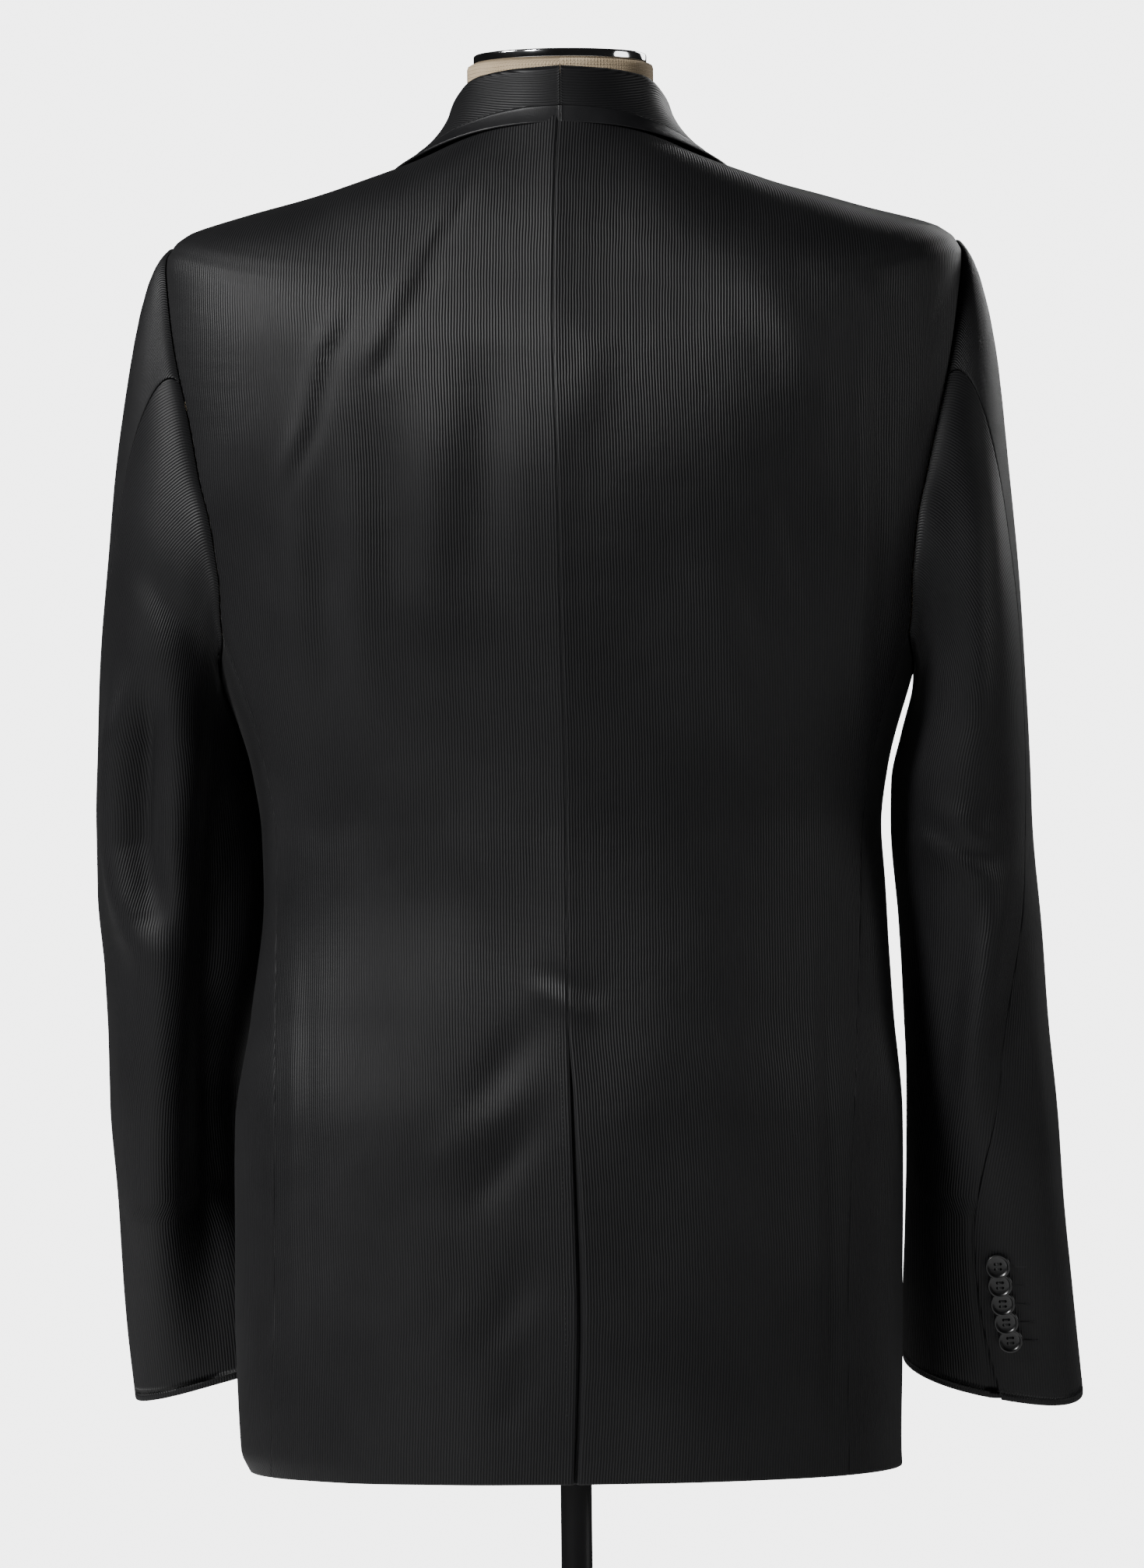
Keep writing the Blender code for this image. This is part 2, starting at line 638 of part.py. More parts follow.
def add_fronts(material):
    corner = [HEM + rise for rise in CORNER_ROWS]
    runs = np.concatenate([back_runs()[:1], corner, back_runs()[1:]])
    for side in (LEFT, RIGHT):

        def edges(run, side=side):
            trim = aside(side, run, True, SEAM)
            high = front_edge(side, run) - trim
            if run <= SEAM_TOP + 1e-6:
                return side_front(side, run) + trim, high
            return armhole(side, run, True) + trim, high

        shift = under_lap if side == RIGHT else None
        points, normals, faces = panel_grid(side, edges, runs, FRONT_COLUMNS, shift)
        add_wall("front_" + NAMES[side], points, normals, faces, material)


# Sleeves

HEAD_ROWS = (0, 0.08, 0.22, 0.40, 0.58, 0.80)
SLEEVE_ROWS = 13
HEAD_SWELL_LOW = 0.0035  # how far the sleeve head swells out under the arm, and how much more on the shoulder
HEAD_SWELL = 0.0150
HEAD_RISE = 0.0015
HEAD_LEAN = 0.45  # how far the head's swelling turns to the back and the front
HEAD_PULL = 0.45  # the share of the head's height over which it keeps the arm's direction
SEAM_TURN = 0.32  # degrees: each piece of a sleeve stops this far from its seam line
CORNER_CLEAR = 6.0  # degrees between a sleeve's seam and the next corner of the armhole


def armhole_loop(side):
    """The armhole's edge, from the shoulder point down behind, under the arm and up in front."""
    runs = [run for run in back_runs() if SEAM_TOP - 1e-6 <= run <= POINT + 1e-6]
    behind = [(armhole(side, run, False), run) for run in reversed(runs)]
    low, high = side_back(side, SEAM_TOP), side_front(side, SEAM_TOP)
    under = [(around, side_top(side, around)) for around in np.linspace(low, high, SIDE_COLUMNS + 1)[1:-1]]
    before = [(armhole(side, run, True), run) for run in runs]
    return np.array([cloth(side, around, run)[0] for around, run in behind + under + before])


_loops = {}


def armhole_turns(side):
    """The armhole's corners: (turns, points). A turn is in degrees along its edge, 0 at the shoulder point,
    about 90 behind and 180 under the arm."""
    if side not in _loops:
        points = armhole_loop(side)
        lengths = np.concatenate([[0], np.cumsum(np.linalg.norm(np.diff(points, axis=0), axis=1))])
        _loops[side] = 360 * lengths / lengths[-1], points
    return _loops[side]


def loop_point(side, turn):
    turns, points = armhole_turns(side)
    return np.array([np.interp(turn % 360, turns, points[:, axis]) for axis in range(3)])


def sleeve_ring(side, z, turn):
    """A point of a sleeve below its head."""
    at = read(SLEEVE[side], z)
    half = (at["outer"] - at["inner"]) / 2
    middle = (at["outer"] + at["inner"]) / 2
    cosine, sine = math.cos(math.radians(turn)), math.sin(math.radians(turn))
    out = middle + half * math.copysign(abs(cosine) ** (2 / at["square"]), cosine)
    y = at["y_mid"] - at["deep"] * math.copysign(abs(sine) ** (2 / at["square"]), sine)
    height = z + at["rise"] * (y - at["y_mid"]) - at["lift"] * (out - middle)
    return np.array([side * out, y, height])


def sleeve_point(side, down, turn):
    """A point of a sleeve: down is 0 at the armhole, 1 at the foot of the sleeve head and 2 at the cuff."""
    if down >= 1:
        cuff = SLEEVE[side]["z"][0]
        return sleeve_ring(side, SLEEVE_TOP - (down - 1) * (SLEEVE_TOP - cuff), turn)
    angle = math.radians(turn)
    high = 0.5 + 0.5 * math.cos(angle)
    start, end = loop_point(side, turn), sleeve_ring(side, SLEEVE_TOP, turn)
    out = unit(np.array([side * 1.0, -HEAD_LEAN * math.sin(angle), 0.0]))
    start = start + out * SLEEVE_GAP + np.array([0, 0, SLEEVE_GAP * (1 - high)])
    leave = start + out * (HEAD_SWELL_LOW + HEAD_SWELL * high**0.7) + np.array([0, 0, HEAD_RISE * high])
    step = 0.01
    rising = (end - sleeve_ring(side, SLEEVE_TOP - step, turn)) / step
    arrive = end + rising * HEAD_PULL * (start[2] - end[2])
    t = down
    parts = (1 - t) ** 3 * start + 3 * t * (1 - t) ** 2 * leave
    return parts + 3 * t * t * (1 - t) * arrive + t**3 * end


def sleeve_normal(side, down, turn):
    step, bend = 0.01, 2.0
    low, high = max(down - step, 0.0), min(down + step, 2.0)
    across = sleeve_point(side, down, turn + bend) - sleeve_point(side, down, turn - bend)
    along = sleeve_point(side, low, turn) - sleeve_point(side, high, turn)
    return unit(np.cross(across, along) * -side)


def sleeve_turns(side, name, down):
    """The columns of a sleeve's piece: at the armhole its corners, lower down evenly spaced."""
    places, _ = armhole_turns(side)
    ends = []
    for at in (read(SLEEVE_SEAM[side], 0.0), read(SLEEVE_SEAM[side], down)):
        upper = name == "upper_sleeve"
        low, high = (at["before"], at["behind"]) if upper else (at["behind"], at["before"] + 360)
        ends.append((low + SEAM_TURN, high - SEAM_TURN))
    (low, high), (even_low, even_high) = ends
    every = np.concatenate([places - 360, places[1:]])
    inside = every[(every > low + CORNER_CLEAR) & (every < high - CORNER_CLEAR)]
    corners = np.concatenate([[low], inside, [high]])
    share = min(down, 1.0)
    return corners * (1 - share) + np.linspace(even_low, even_high, len(corners)) * share


def add_sleeves(material):
    downs = np.concatenate([HEAD_ROWS, np.linspace(1, 2, SLEEVE_ROWS)])
    for side in (LEFT, RIGHT):
        for name in ("upper_sleeve", "under_sleeve"):
            points, normals = [], []
            for down in downs:
                turns = sleeve_turns(side, name, down)
                points += [sleeve_point(side, down, turn) for turn in turns]
                normals += [sleeve_normal(side, down, turn) for turn in turns]
            faces = grid_faces(points, len(turns))
            add_wall(f"{name}_{NAMES[side]}", points, normals, faces, material)


# Collar

STAND_COLUMNS = 4
FALL_COLUMNS = 6


def neck_columns(side, at):
    """The stand, the roll and the fall round the neck, as corner points of one smooth line."""
    seam = body(side, at["seam_around"], NECK) + np.array([0, 0, STAND_LIFT])
    turn = math.radians(at["turn"])
    away = np.array([side * math.sin(turn), -math.cos(turn), 0.0])
    roll = away * at["roll_out"] + np.array([0, SHOULDER_SET, at["roll_z"]])
    edge = body(side, at["edge_around"], at["edge_run"])
    edge = edge + body_normal(side, at["edge_around"], at["edge_run"]) * EDGE_LIFT
    rise = np.array([0, 0, 1.0])
    middle = (seam + roll) / 2 - away * STAND_MIDDLE[0] - rise * STAND_MIDDLE[1]
    stand = [seam, middle, roll - away * STAND_TOP[0] - rise * STAND_TOP[1], roll + away * ROLL_TURN]
    bend = roll + away * FALL_START + (edge - roll) * np.array([FALL_BEND, FALL_BEND, at["sag"]])
    fall = [(1 - t) ** 2 * stand[-1] + 2 * t * (1 - t) * bend + t * t * edge for t in fall_places()[1:]]
    return np.array(stand + fall)


def lapel_columns(side, roll_run, edge_around, edge_run):
    """The lapel: it turns over the front's rolled edge and lies on the front."""
    roll_around = roll_line(side, roll_run)
    point, normal = body(side, roll_around, roll_run), body_normal(side, roll_around, roll_run)
    along = body(side, roll_around - 0.01, roll_run) - point
    out = unit(along - normal * np.dot(along, normal))
    stand = [point - out * past + normal * high for past, high in LAPEL_TURN]
    fall = []
    for t in fall_places()[1:]:
        around, run = roll_around + (edge_around - roll_around) * t, roll_run + (edge_run - roll_run) * t
        lift = LAPEL_LIFT + (EDGE_LIFT - LAPEL_LIFT) * t
        fall.append(body(side, around, run) + body_normal(side, around, run) * lift)
    return np.array(stand + fall)


def fall_places():
    return np.linspace(0, 1, FALL_COLUMNS + 1)


def collar_line(side, station):
    """The collar's cross-section at a station, as corner points from the inside seam to the outer edge."""
    if station < 0:
        return collar_line(side, -station) * np.array([-1, 1, 1])
    if station <= 2:
        at = read(COLLAR, station)
        if station < 1:
            return neck_columns(side, at)
        lapel = lapel_columns(side, at["roll_run"], at["edge_around"], at["edge_run"])
        return at["neck"] * neck_columns(side, at) + (1 - at["neck"]) * lapel
    end = BUTTON_RUN + 0.006 if side == LEFT else RIGHT_LAPEL_END
    run = LAPEL_HEAD - (LAPEL_HEAD - end) * (station - 2)
    edge_run = run - HEAD_DROP * (1 - ease(2.0, 2.6, station))
    edge = around_at(side, edge_run, smooth(LAPEL["run"], LAPEL["edge"], edge_run), front=True)
    return lapel_columns(side, run, edge, edge_run)


def collar_point(side, station, place):
    """A point of the collar: place counts the cross-section's corner points, with a smooth line through them."""
    corners = collar_line(side, station)
    i = min(int(place), len(corners) - 2)
    t = place - i
    before, after = corners[max(i - 1, 0)], corners[min(i + 2, len(corners) - 1)]
    here, there = corners[i], corners[i + 1]
    lean_here, lean_there = (there - before) / 2, (after - here) / 2
    bend = t * (1 - t) ** 2 * lean_here + t * t * (t - 1) * lean_there
    return here * (1 + 2 * t) * (1 - t) ** 2 + there * t * t * (3 - 2 * t) + bend


def collar_normal(side, station, place):
    step, last = 0.02, STAND_COLUMNS + FALL_COLUMNS - 1
    high = min(station + step, 3.0)
    across = collar_point(side, station, min(place + 0.1, last)) - collar_point(side, station, max(place - 0.1, 0))
    along = collar_point(side, high, place) - collar_point(side, high - 2 * step, place)
    return unit(np.cross(across, along) * side)


def collar_stations():
    neck = np.linspace(0, 1, 7)
    shoulder = np.linspace(1, 2, 6)[1:]
    lapel = np.linspace(2, 3, 15)[1:]
    return np.concatenate([neck, shoulder, lapel])


def add_collars(cloth_material, satin):
    last = STAND_COLUMNS + FALL_COLUMNS - 1
    for side in (LEFT, RIGHT):
        stations = collar_stations()
        sheets = {"collar": ([], []), "collar_band": ([], [])}
        for i, station in enumerate(stations):
            if i == 0:
                station = SEAM / 0.08
            line = collar_line(side, station)
            long = np.linalg.norm(np.diff(line[STAND_COLUMNS - 1:], axis=0), axis=1).sum()
            band = min(BAND, 0.4 * long) / long * FALL_COLUMNS
            gap = SEAM / long * FALL_COLUMNS
            fall = np.linspace(STAND_COLUMNS - 1, last - band - gap, 6)
            places = {
                "collar": [*range(STAND_COLUMNS - 1), *fall],
                "collar_band": [last - band + gap, last - band / 2, last],
            }
            for name, (points, normals) in sheets.items():
                for place in places[name]:
                    points.append(collar_point(side, station, place))
                    normals.append(collar_normal(side, station, place))
        for name, (points, normals) in sheets.items():
            faces = grid_faces(points, len(points) // len(stations))
            material = cloth_material if name == "collar" else satin
            add_wall(f"{name}_{NAMES[side]}", points, normals, faces, material, COLLAR_WALL)


# Buttons


def button_profile(diameter, shank):
    """A sewn button: shank, flat underside, rounded edge, raised rim and a dished face."""
    turned = [(diameter / 2 * wide, BUTTON_THICK * high) for wide, high in BUTTON_SECTION]
    return [(0, -shank), (SHANK, -shank), (SHANK, 0), *turned, (0, turned[-1][1])]


def add_buttons(material):
    for side in (LEFT, RIGHT):
        for i in range(CUFF_BUTTONS):
            # The lowest button is the last, and lies over the one above it.
            z = LOWEST_BUTTON + (CUFF_BUTTONS - 1 - i) * CUFF_PITCH
            cuff = SLEEVE[side]["z"][0]
            down = 1 + (SLEEVE_TOP - z) / (SLEEVE_TOP - cuff)
            turn = read(SLEEVE_SEAM[side], down)["behind"] + BUTTON_TURN
            point, normal = sleeve_point(side, down, turn), sleeve_normal(side, down, turn)
            fall = sleeve_point(side, down + 0.01, turn) - sleeve_point(side, down - 0.01, turn)
            fall = unit(fall - normal * np.dot(fall, normal))
            axis = normal * math.cos(CUFF_TILT) - fall * math.sin(CUFF_TILT)
            height = CUFF_BUTTON / 2 * math.sin(CUFF_TILT) + BUTTON_CLEAR
            shank = height / math.cos(CUFF_TILT) - CLEAR - SHANK * math.tan(CUFF_TILT)
            profile = button_profile(CUFF_BUTTON, shank)
            add_turned(f"cuff_button_{NAMES[side]}_{i + 1}", profile, 14, material, point + normal * height, axis)
    around = around_at(LEFT, FRONT_BUTTON_RUN, 0.0, front=True)
    point, normal = cloth(LEFT, around, FRONT_BUTTON_RUN)
    profile = button_profile(FRONT_BUTTON, FRONT_BUTTON_LIFT - CLEAR)
    add_turned("front_button", profile, 18, material, point + normal * FRONT_BUTTON_LIFT, normal)


# Dress form


def form_clearance(around, run):
    """How far the form's torso stays from the jacket's inner face: it carries the jacket at the shoulders."""
    on_shoulder = ease(*CARRY_RUN[:2], run) * (1 - ease(*CARRY_RUN[2:], run))
    on_shoulder *= ease(*CARRY_AROUND[:2], around) * (1 - ease(*CARRY_AROUND[2:], around))
    away = FORM_CLEAR + FORM_CLEAR_HIP * (1 - ease(*HIP_RUN, run))
    away += FORM_CLEAR_NECK * ease(CARRY_RUN[2], NECK, run)
    return away * (1 - on_shoulder) + FORM_TOUCH * on_shoulder


def add_form(linen, chrome, black):
    runs = [*FORM_RUNS] + [run for run in back_runs() if run >= POINT - 1e-6]
    halves = np.concatenate([np.linspace(0, 0.5, BACK_COLUMNS), np.linspace(0.5, 1, 10)[1:]])
    places = [(RIGHT, around) for around in halves] + [(LEFT, around) for around in halves[-2:0:-1]]
    points = []
    for index, run in enumerate(runs):
        for side, around in places:
            inset = WALL + form_clearance(around, run) + (FORM_HEM_TURN if index == 0 else 0.0)
            points.append(body(side, around, run) - body_normal(side, around, run) * inset)
    count = len(places)
    neck = ((NECK_FOOT, NECK_RADIUS), (LINEN_TOP - NECK_EDGE, NECK_RADIUS), (LINEN_TOP, NECK_RADIUS - NECK_EDGE))
    for high, radius in neck:
        for i, (side, around) in enumerate(places):
            x, y, _ = points[(len(runs) - 1) * count + i]
            turn = math.atan2(x, -y)
            points.append(np.array([radius * math.sin(turn), -radius * math.cos(turn), high]))
    rows = len(points) // count
    points += [np.array([0, 0, FORM_LOW]), np.array([0, 0, LINEN_TOP])]
    faces = []
    for i in range(count):
        j = (i + 1) % count
        for r in range(rows - 1):
            a, b = r * count + i, r * count + j
            faces += [(a, b, b + count), (a, b + count, a + count)]
        faces.append((rows * count, j, i))
        faces.append((rows * count + 1, (rows - 1) * count + i, (rows - 1) * count + j))
    add_object("form_torso", points, faces, linen)
    low = LINEN_TOP + CLEAR
    cap = [
        (0, low),
        (CAP_RADIUS - CAP_EDGE, low),
        (CAP_RADIUS, low + CAP_EDGE),
        (CAP_RADIUS, CAP_TOP - CAP_EDGE),
        (CAP_RADIUS - CAP_EDGE, CAP_TOP),
        (0, CAP_TOP),
    ]
    add_turned("form_neck_cap", cap, 32, chrome)
    boss = BASE_CROWN + BOSS_HEIGHT
    pole = [(0, boss + CLEAR), (POLE_RADIUS, boss + CLEAR), (POLE_RADIUS, FORM_LOW - CLEAR), (0, FORM_LOW - CLEAR)]
    add_turned("form_pole", pole, 20, black)
    base = [
        (0, 0),
        (BASE_RADIUS, 0),
        (BASE_RADIUS, BASE_RIM - BASE_EDGE),
        (BASE_RADIUS - BASE_EDGE, BASE_RIM),
        (BOSS_FOOT, BASE_CROWN),
        (BOSS_RADIUS, BASE_CROWN + BOSS_FILLET),
        (BOSS_RADIUS, boss - BOSS_EDGE),
        (BOSS_RADIUS - BOSS_EDGE, boss),
        (0, boss),
    ]
    add_turned("form_base", base, 40, black)


def main():
    for old in list(bpy.data.objects):
        bpy.data.objects.remove(old)
    corded = finish("corded_cloth", (0.012, 0.012, 0.014), 0.62)
    satin = finish("satin", (0.010, 0.010, 0.012), 0.34)
    horn = finish("button_black", (0.008, 0.008, 0.009), 0.18)
    linen = finish("linen", (0.55, 0.46, 0.33), 0.85)
    chrome = finish("chrome", (0.78, 0.78, 0.79), 0.08, metallic=1.0)
    black = finish("black_metal", (0.012, 0.012, 0.013), 0.35)
    add_backs(corded)
    add_sides(corded)
    add_fronts(corded)
    add_sleeves(corded)
    add_collars(corded, satin)
    add_buttons(horn)
    add_form(linen, chrome, black)


main()
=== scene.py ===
# %% [markdown]
# A corded shawl-collar blazer hangs on a padded dress form, with its back to the camera. The tables below give
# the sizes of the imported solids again, in metres. Each cloth solid gives way here to a thin shell on the same
# form, with folds, ribs and sewing. The garment's back faces -Y, and +X is the wearer's right.

# %% Load the fixed frame
import math

import bmesh
import bpy
import numpy as np
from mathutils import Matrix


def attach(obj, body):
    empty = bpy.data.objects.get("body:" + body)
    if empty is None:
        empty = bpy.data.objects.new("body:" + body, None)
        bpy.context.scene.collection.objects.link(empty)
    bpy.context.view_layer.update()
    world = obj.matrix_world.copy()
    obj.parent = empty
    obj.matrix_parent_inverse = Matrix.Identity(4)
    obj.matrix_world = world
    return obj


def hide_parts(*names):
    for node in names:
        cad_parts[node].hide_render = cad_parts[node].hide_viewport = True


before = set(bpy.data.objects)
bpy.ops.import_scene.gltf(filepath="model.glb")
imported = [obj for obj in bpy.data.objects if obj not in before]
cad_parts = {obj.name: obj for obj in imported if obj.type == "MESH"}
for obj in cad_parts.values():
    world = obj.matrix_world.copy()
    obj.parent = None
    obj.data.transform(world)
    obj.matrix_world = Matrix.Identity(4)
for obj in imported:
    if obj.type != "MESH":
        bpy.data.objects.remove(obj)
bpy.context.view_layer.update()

print("solids in the frame:", len(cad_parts))

# %% [markdown]
# A long lens from almost five metres away keeps the two sides of the jacket nearly parallel, as product
# photographs do. A wide lens close by would swell the middle of the back. The camera leans by well under one
# degree, because the real one did.

# %% The camera
LENS, SENSOR_HEIGHT, CAMERA_PLACE, CAMERA_LEAN = 189, 36, (0.0022, -4.725, 1.0915), math.radians(0.65)


def link(name, data):
    """A new object in the scene."""
    made = bpy.data.objects.new(name, data)
    bpy.context.scene.collection.objects.link(made)
    return made


camera = link("camera", bpy.data.cameras.new("camera"))
camera.data.sensor_fit = "VERTICAL"
camera.data.sensor_height = SENSOR_HEIGHT
camera.data.lens = LENS
camera.location = CAMERA_PLACE
camera.rotation_euler = (math.pi / 2, CAMERA_LEAN, 0)
bpy.context.scene.camera = camera
print("camera distance:", round(-camera.location.y, 3), "m")

# %% [markdown]
# Black cloth shows its shape only through the light that it throws back. Two soft lamps high at the left graze
# the folds, so the left half of the back reads lighter than the right. Two weak ones light the right edge and
# the front. The pale surround is bright only to the camera, because as a light it would wash the folds out.

# %% The light and the floor
LAMPS = (
    ("key_lamp", (-2.2, -2.6, 3.0), (0.0, 0.0, 1.15), 0.9, 200),
    ("left_lamp", (-2.4, -0.5, 2.9), (-0.1, 0.0, 1.25), 0.9, 50),
    ("rim_lamp", (3.0, 0.0, 1.6), (0.0, 0.0, 1.0), 1.4, 20),
    ("front_lamp", (1.8, 3.0, 2.4), (0.0, 0.0, 1.1), 1.8, 40),
)
TENT_SEEN, TENT_FILL = 4.6, 0.012
FLOOR = 3.0


def add_lamp(name, place, target, size, power):
    lamp = bpy.data.lights.new(name, "AREA")
    lamp.shape, lamp.size, lamp.energy = "DISK", size, power
    made = link(name, lamp)
    made.location = place
    ahead = np.array(target) - np.array(place)
    flat = math.hypot(ahead[0], ahead[1])
    made.rotation_euler = (math.pi / 2 + math.atan2(ahead[2], flat), 0, math.atan2(-ahead[0], ahead[1]))


for lamp in LAMPS:
    add_lamp(*lamp)

world = bpy.data.worlds.new("pale_tent")
world.use_nodes = True
tent = world.node_tree
tent.nodes["Background"].inputs["Color"].default_value = (1.0, 1.0, 1.0, 1)
seen = tent.nodes.new("ShaderNodeLightPath")
level = tent.nodes.new("ShaderNodeMix")
level.inputs["A"].default_value, level.inputs["B"].default_value = TENT_FILL, TENT_SEEN
tent.links.new(seen.outputs["Is Camera Ray"], level.inputs["Factor"])
tent.links.new(level.outputs["Result"], tent.nodes["Background"].inputs["Strength"])
bpy.context.scene.world = world

floor_mesh = bpy.data.meshes.new("floor")
floor_corners = [(-FLOOR, -FLOOR, 0), (FLOOR, -FLOOR, 0), (FLOOR, FLOOR, 0), (-FLOOR, FLOOR, 0)]
floor_mesh.from_pydata(floor_corners, [], [(0, 1, 2, 3)])
floor = link("floor", floor_mesh)
print("floor:", 2 * FLOOR, "m across")

# %% [markdown]
# The whole jacket follows three smooth surfaces: the body, the sleeves and the collar. Each is drawn from a
# short table of sizes, and a curve that never overshoots joins the rows. Moulding the panels by hand would
# give freer shapes, but tables keep the neighbours of every seam together.

# %% Curves through tables
LEFT, RIGHT = -1, 1
NAMES = {LEFT: "left", RIGHT: "right"}


def table(names, *rows):
    """Columns by name, in rising order of the first."""
    return {name: np.array(column, float) for name, column in zip(names.split(), zip(*sorted(rows)))}


def smooth(places, values, at):
    """The values at some places of a smooth curve through the points, which never overshoots them."""
    values = np.transpose(values)
    gaps = np.diff(places)
    slopes = np.diff(values) / gaps
    before, after = slopes[..., :-1], slopes[..., 1:]
    turning = before * after <= 0
    ahead, behind = 2 * gaps[1:] + gaps[:-1], gaps[1:] + 2 * gaps[:-1]
    shares = ahead / np.where(turning, 1, before) + behind / np.where(turning, 1, after)
    inner = np.where(turning, 0, (ahead + behind) / np.where(turning, 1, shares))
    leans = np.concatenate([slopes[..., :1], inner, slopes[..., -1:]], axis=-1)
    at = np.clip(at, places[0], places[-1])
    i = np.clip(np.searchsorted(places, at, side="right") - 1, 0, len(gaps) - 1)
    t = (at - places[i]) / gaps[i]
    ends = values[..., i] * (1 + 2 * t) * (1 - t) ** 2 + values[..., i + 1] * t * t * (3 - 2 * t)
    return ends + gaps[i] * (leans[..., i] * t * (1 - t) ** 2 + leans[..., i + 1] * t * t * (t - 1))


def read(rows, place):
    """Every column of a table at one place of its first column."""
    first, *rest = rows
    columns = np.stack([rows[name] for name in rest], axis=1)
    return dict(zip(rest, smooth(rows[first], columns, place)))


def ease(low, high, value):
    """0 below low, 1 above high, and smooth between."""
    t = np.clip((value - low) / (high - low), 0.0, 1.0)
    return t * t * (3 - 2 * t)


def unit(vectors):
    return vectors / np.linalg.norm(vectors, axis=-1, keepdims=True)


def lengths_along(line):
    """How far each point of a line is along it."""
    return np.concatenate([[0], np.cumsum(np.linalg.norm(np.diff(line, axis=0), axis=1))])


def points_at(wanted, places, points):
    """Points between others, by where those are."""
    return np.stack([np.interp(wanted, places, points[:, axis]) for axis in range(3)], axis=-1)


# %% [markdown]
# The body of the jacket is a family of closed rings from the hem to the neck. "run" names a ring by its height
# up the wearer's side, and past the shoulder point it goes on along the shoulder. "around" is the place on a
# ring: 0 at the centre back, 0.5 at the side and 1 at the centre front. Squared ovals give the flat back and
# the round sides of a tailored jacket with only two numbers a ring.

# %% The body's rings
HEM, VENT_TOP, SEAM_TOP, ARMHOLE_LOW = 0.700, 0.962, 1.177, 1.152
HEAD_CURVE, POINT, SHOULDER_TURN, NECK = 1.382, 1.402, 1.412, 1.557
RING_STEPS = 260
BODY = table(
    "run z_back z_side z_front half_left half_right y_back y_side y_front square_back square_front",
    (0.700, 0.700, 0.700, 0.692, 0.1870, 0.1872, -0.125, 0.000, 0.131, 2.30, 2.25),
    (0.712, 0.712, 0.712, 0.7055, 0.1922, 0.1868, -0.1258, 0.000, 0.1315, 2.30, 2.25),
    (0.760, 0.760, 0.760, 0.756, 0.1940, 0.1880, -0.128, 0.000, 0.133, 2.30, 2.25),
    (0.810, 0.810, 0.810, 0.808, 0.1944, 0.1890, -0.129, 0.000, 0.134, 2.30, 2.25),
    (0.900, 0.900, 0.900, 0.900, 0.1930, 0.1900, -0.127, 0.000, 0.134, 2.30, 2.25),
    (0.962, 0.962, 0.962, 0.962, 0.1830, 0.1848, -0.1207, 0.000, 0.132, 2.30, 2.25),
    (1.030, 1.030, 1.030, 1.030, 0.1755, 0.1815, -0.1152, 0.000, 0.129, 2.30, 2.25),
    (1.065, 1.065, 1.065, 1.065, 0.1760, 0.1795, -0.1148, 0.000, 0.129, 2.30, 2.25),
    (1.100, 1.100, 1.100, 1.100, 0.1810, 0.1840, -0.1166, 0.000, 0.132, 2.35, 2.30),
    (1.152, 1.152, 1.152, 1.152, 0.1980, 0.1980, -0.1218, 0.000, 0.137, 2.45, 2.40),
    (1.200, 1.200, 1.200, 1.200, 0.2130, 0.2130, -0.1262, 0.000, 0.140, 2.60, 2.45),
    (1.270, 1.268, 1.270, 1.265, 0.2260, 0.2240, -0.130, -0.002, 0.137, 2.70, 2.50),
    (1.350, 1.335, 1.350, 1.325, 0.2290, 0.2300, -0.123, -0.004, 0.122, 2.80, 2.60),
    (1.402, 1.375, 1.4035, 1.362, 0.2262, 0.2300, -0.111, -0.004, 0.107, 2.80, 2.60),
    (1.412, 1.3825, 1.4075, 1.3685, 0.2170, 0.2200, -0.1083, -0.0035, 0.1033, 2.75, 2.57),
    (1.480, 1.430, 1.4266, 1.408, 0.1500, 0.1500, -0.089, 0.000, 0.078, 2.50, 2.40),
    (1.557, 1.4715, 1.4470, 1.432, 0.0760, 0.0760, -0.0645, 0.002, 0.058, 2.20, 2.20),
)
SHOULDER_ROUND, ROUND_REACH, LEAST_ROUND = 0.026, 0.040, 0.0005
OWN_SHARE, NEIGHBOURS = 6 / 16, ((-1, 1 / 16), (-0.5, 4 / 16), (0.5, 4 / 16), (1, 1 / 16))
CLOSE, NORMAL_STEP, ASIDE_STEP = 1e-6, 0.004, 0.01
rings = {}


def sharp_ring(side, run):
    """One side of the ring at run, before the shoulder is rounded: (around, points)."""
    at = read(BODY, run)
    half = at["half_left"] if side == LEFT else at["half_right"]
    angle = np.linspace(0, math.pi / 2, RING_STEPS)
    halves = []
    for end in ("back", "front"):
        power = 2 / at["square_" + end]
        out = half * np.sin(angle) ** power
        deep = at["y_side"] + (at["y_" + end] - at["y_side"]) * np.cos(angle).clip(0) ** power
        high = at["z_side"] + (at["z_" + end] - at["z_side"]) * np.cos(angle) ** 2
        points = np.stack([side * out, deep, high], axis=1)
        lengths = lengths_along(points)
        halves.append((0.5 * lengths / lengths[-1], points))
    (back_around, back), (front_around, front) = halves
    around = np.concatenate([back_around, 1 - front_around[::-1][1:]])
    return around, np.concatenate([back, front[::-1][1:]])


def ring(side, run):
    """One side of the ring at run: (around, points), from the centre back to the centre front."""
    key = (side, round(float(run), 7))
    if key not in rings:
        around, points = sharp_ring(side, run)
        reach = SHOULDER_ROUND * math.exp(-(((run - POINT) / ROUND_REACH) ** 2))
        if reach > LEAST_ROUND:
            # Over the shoulder's edge a ring is a mean with its neighbours, which rounds the edge.
            points = points * OWN_SHARE
            for step, share in NEIGHBOURS:
                points = points + points_at(around, *sharp_ring(side, run + step * reach)) * share
        rings[key] = around, points
    return rings[key]


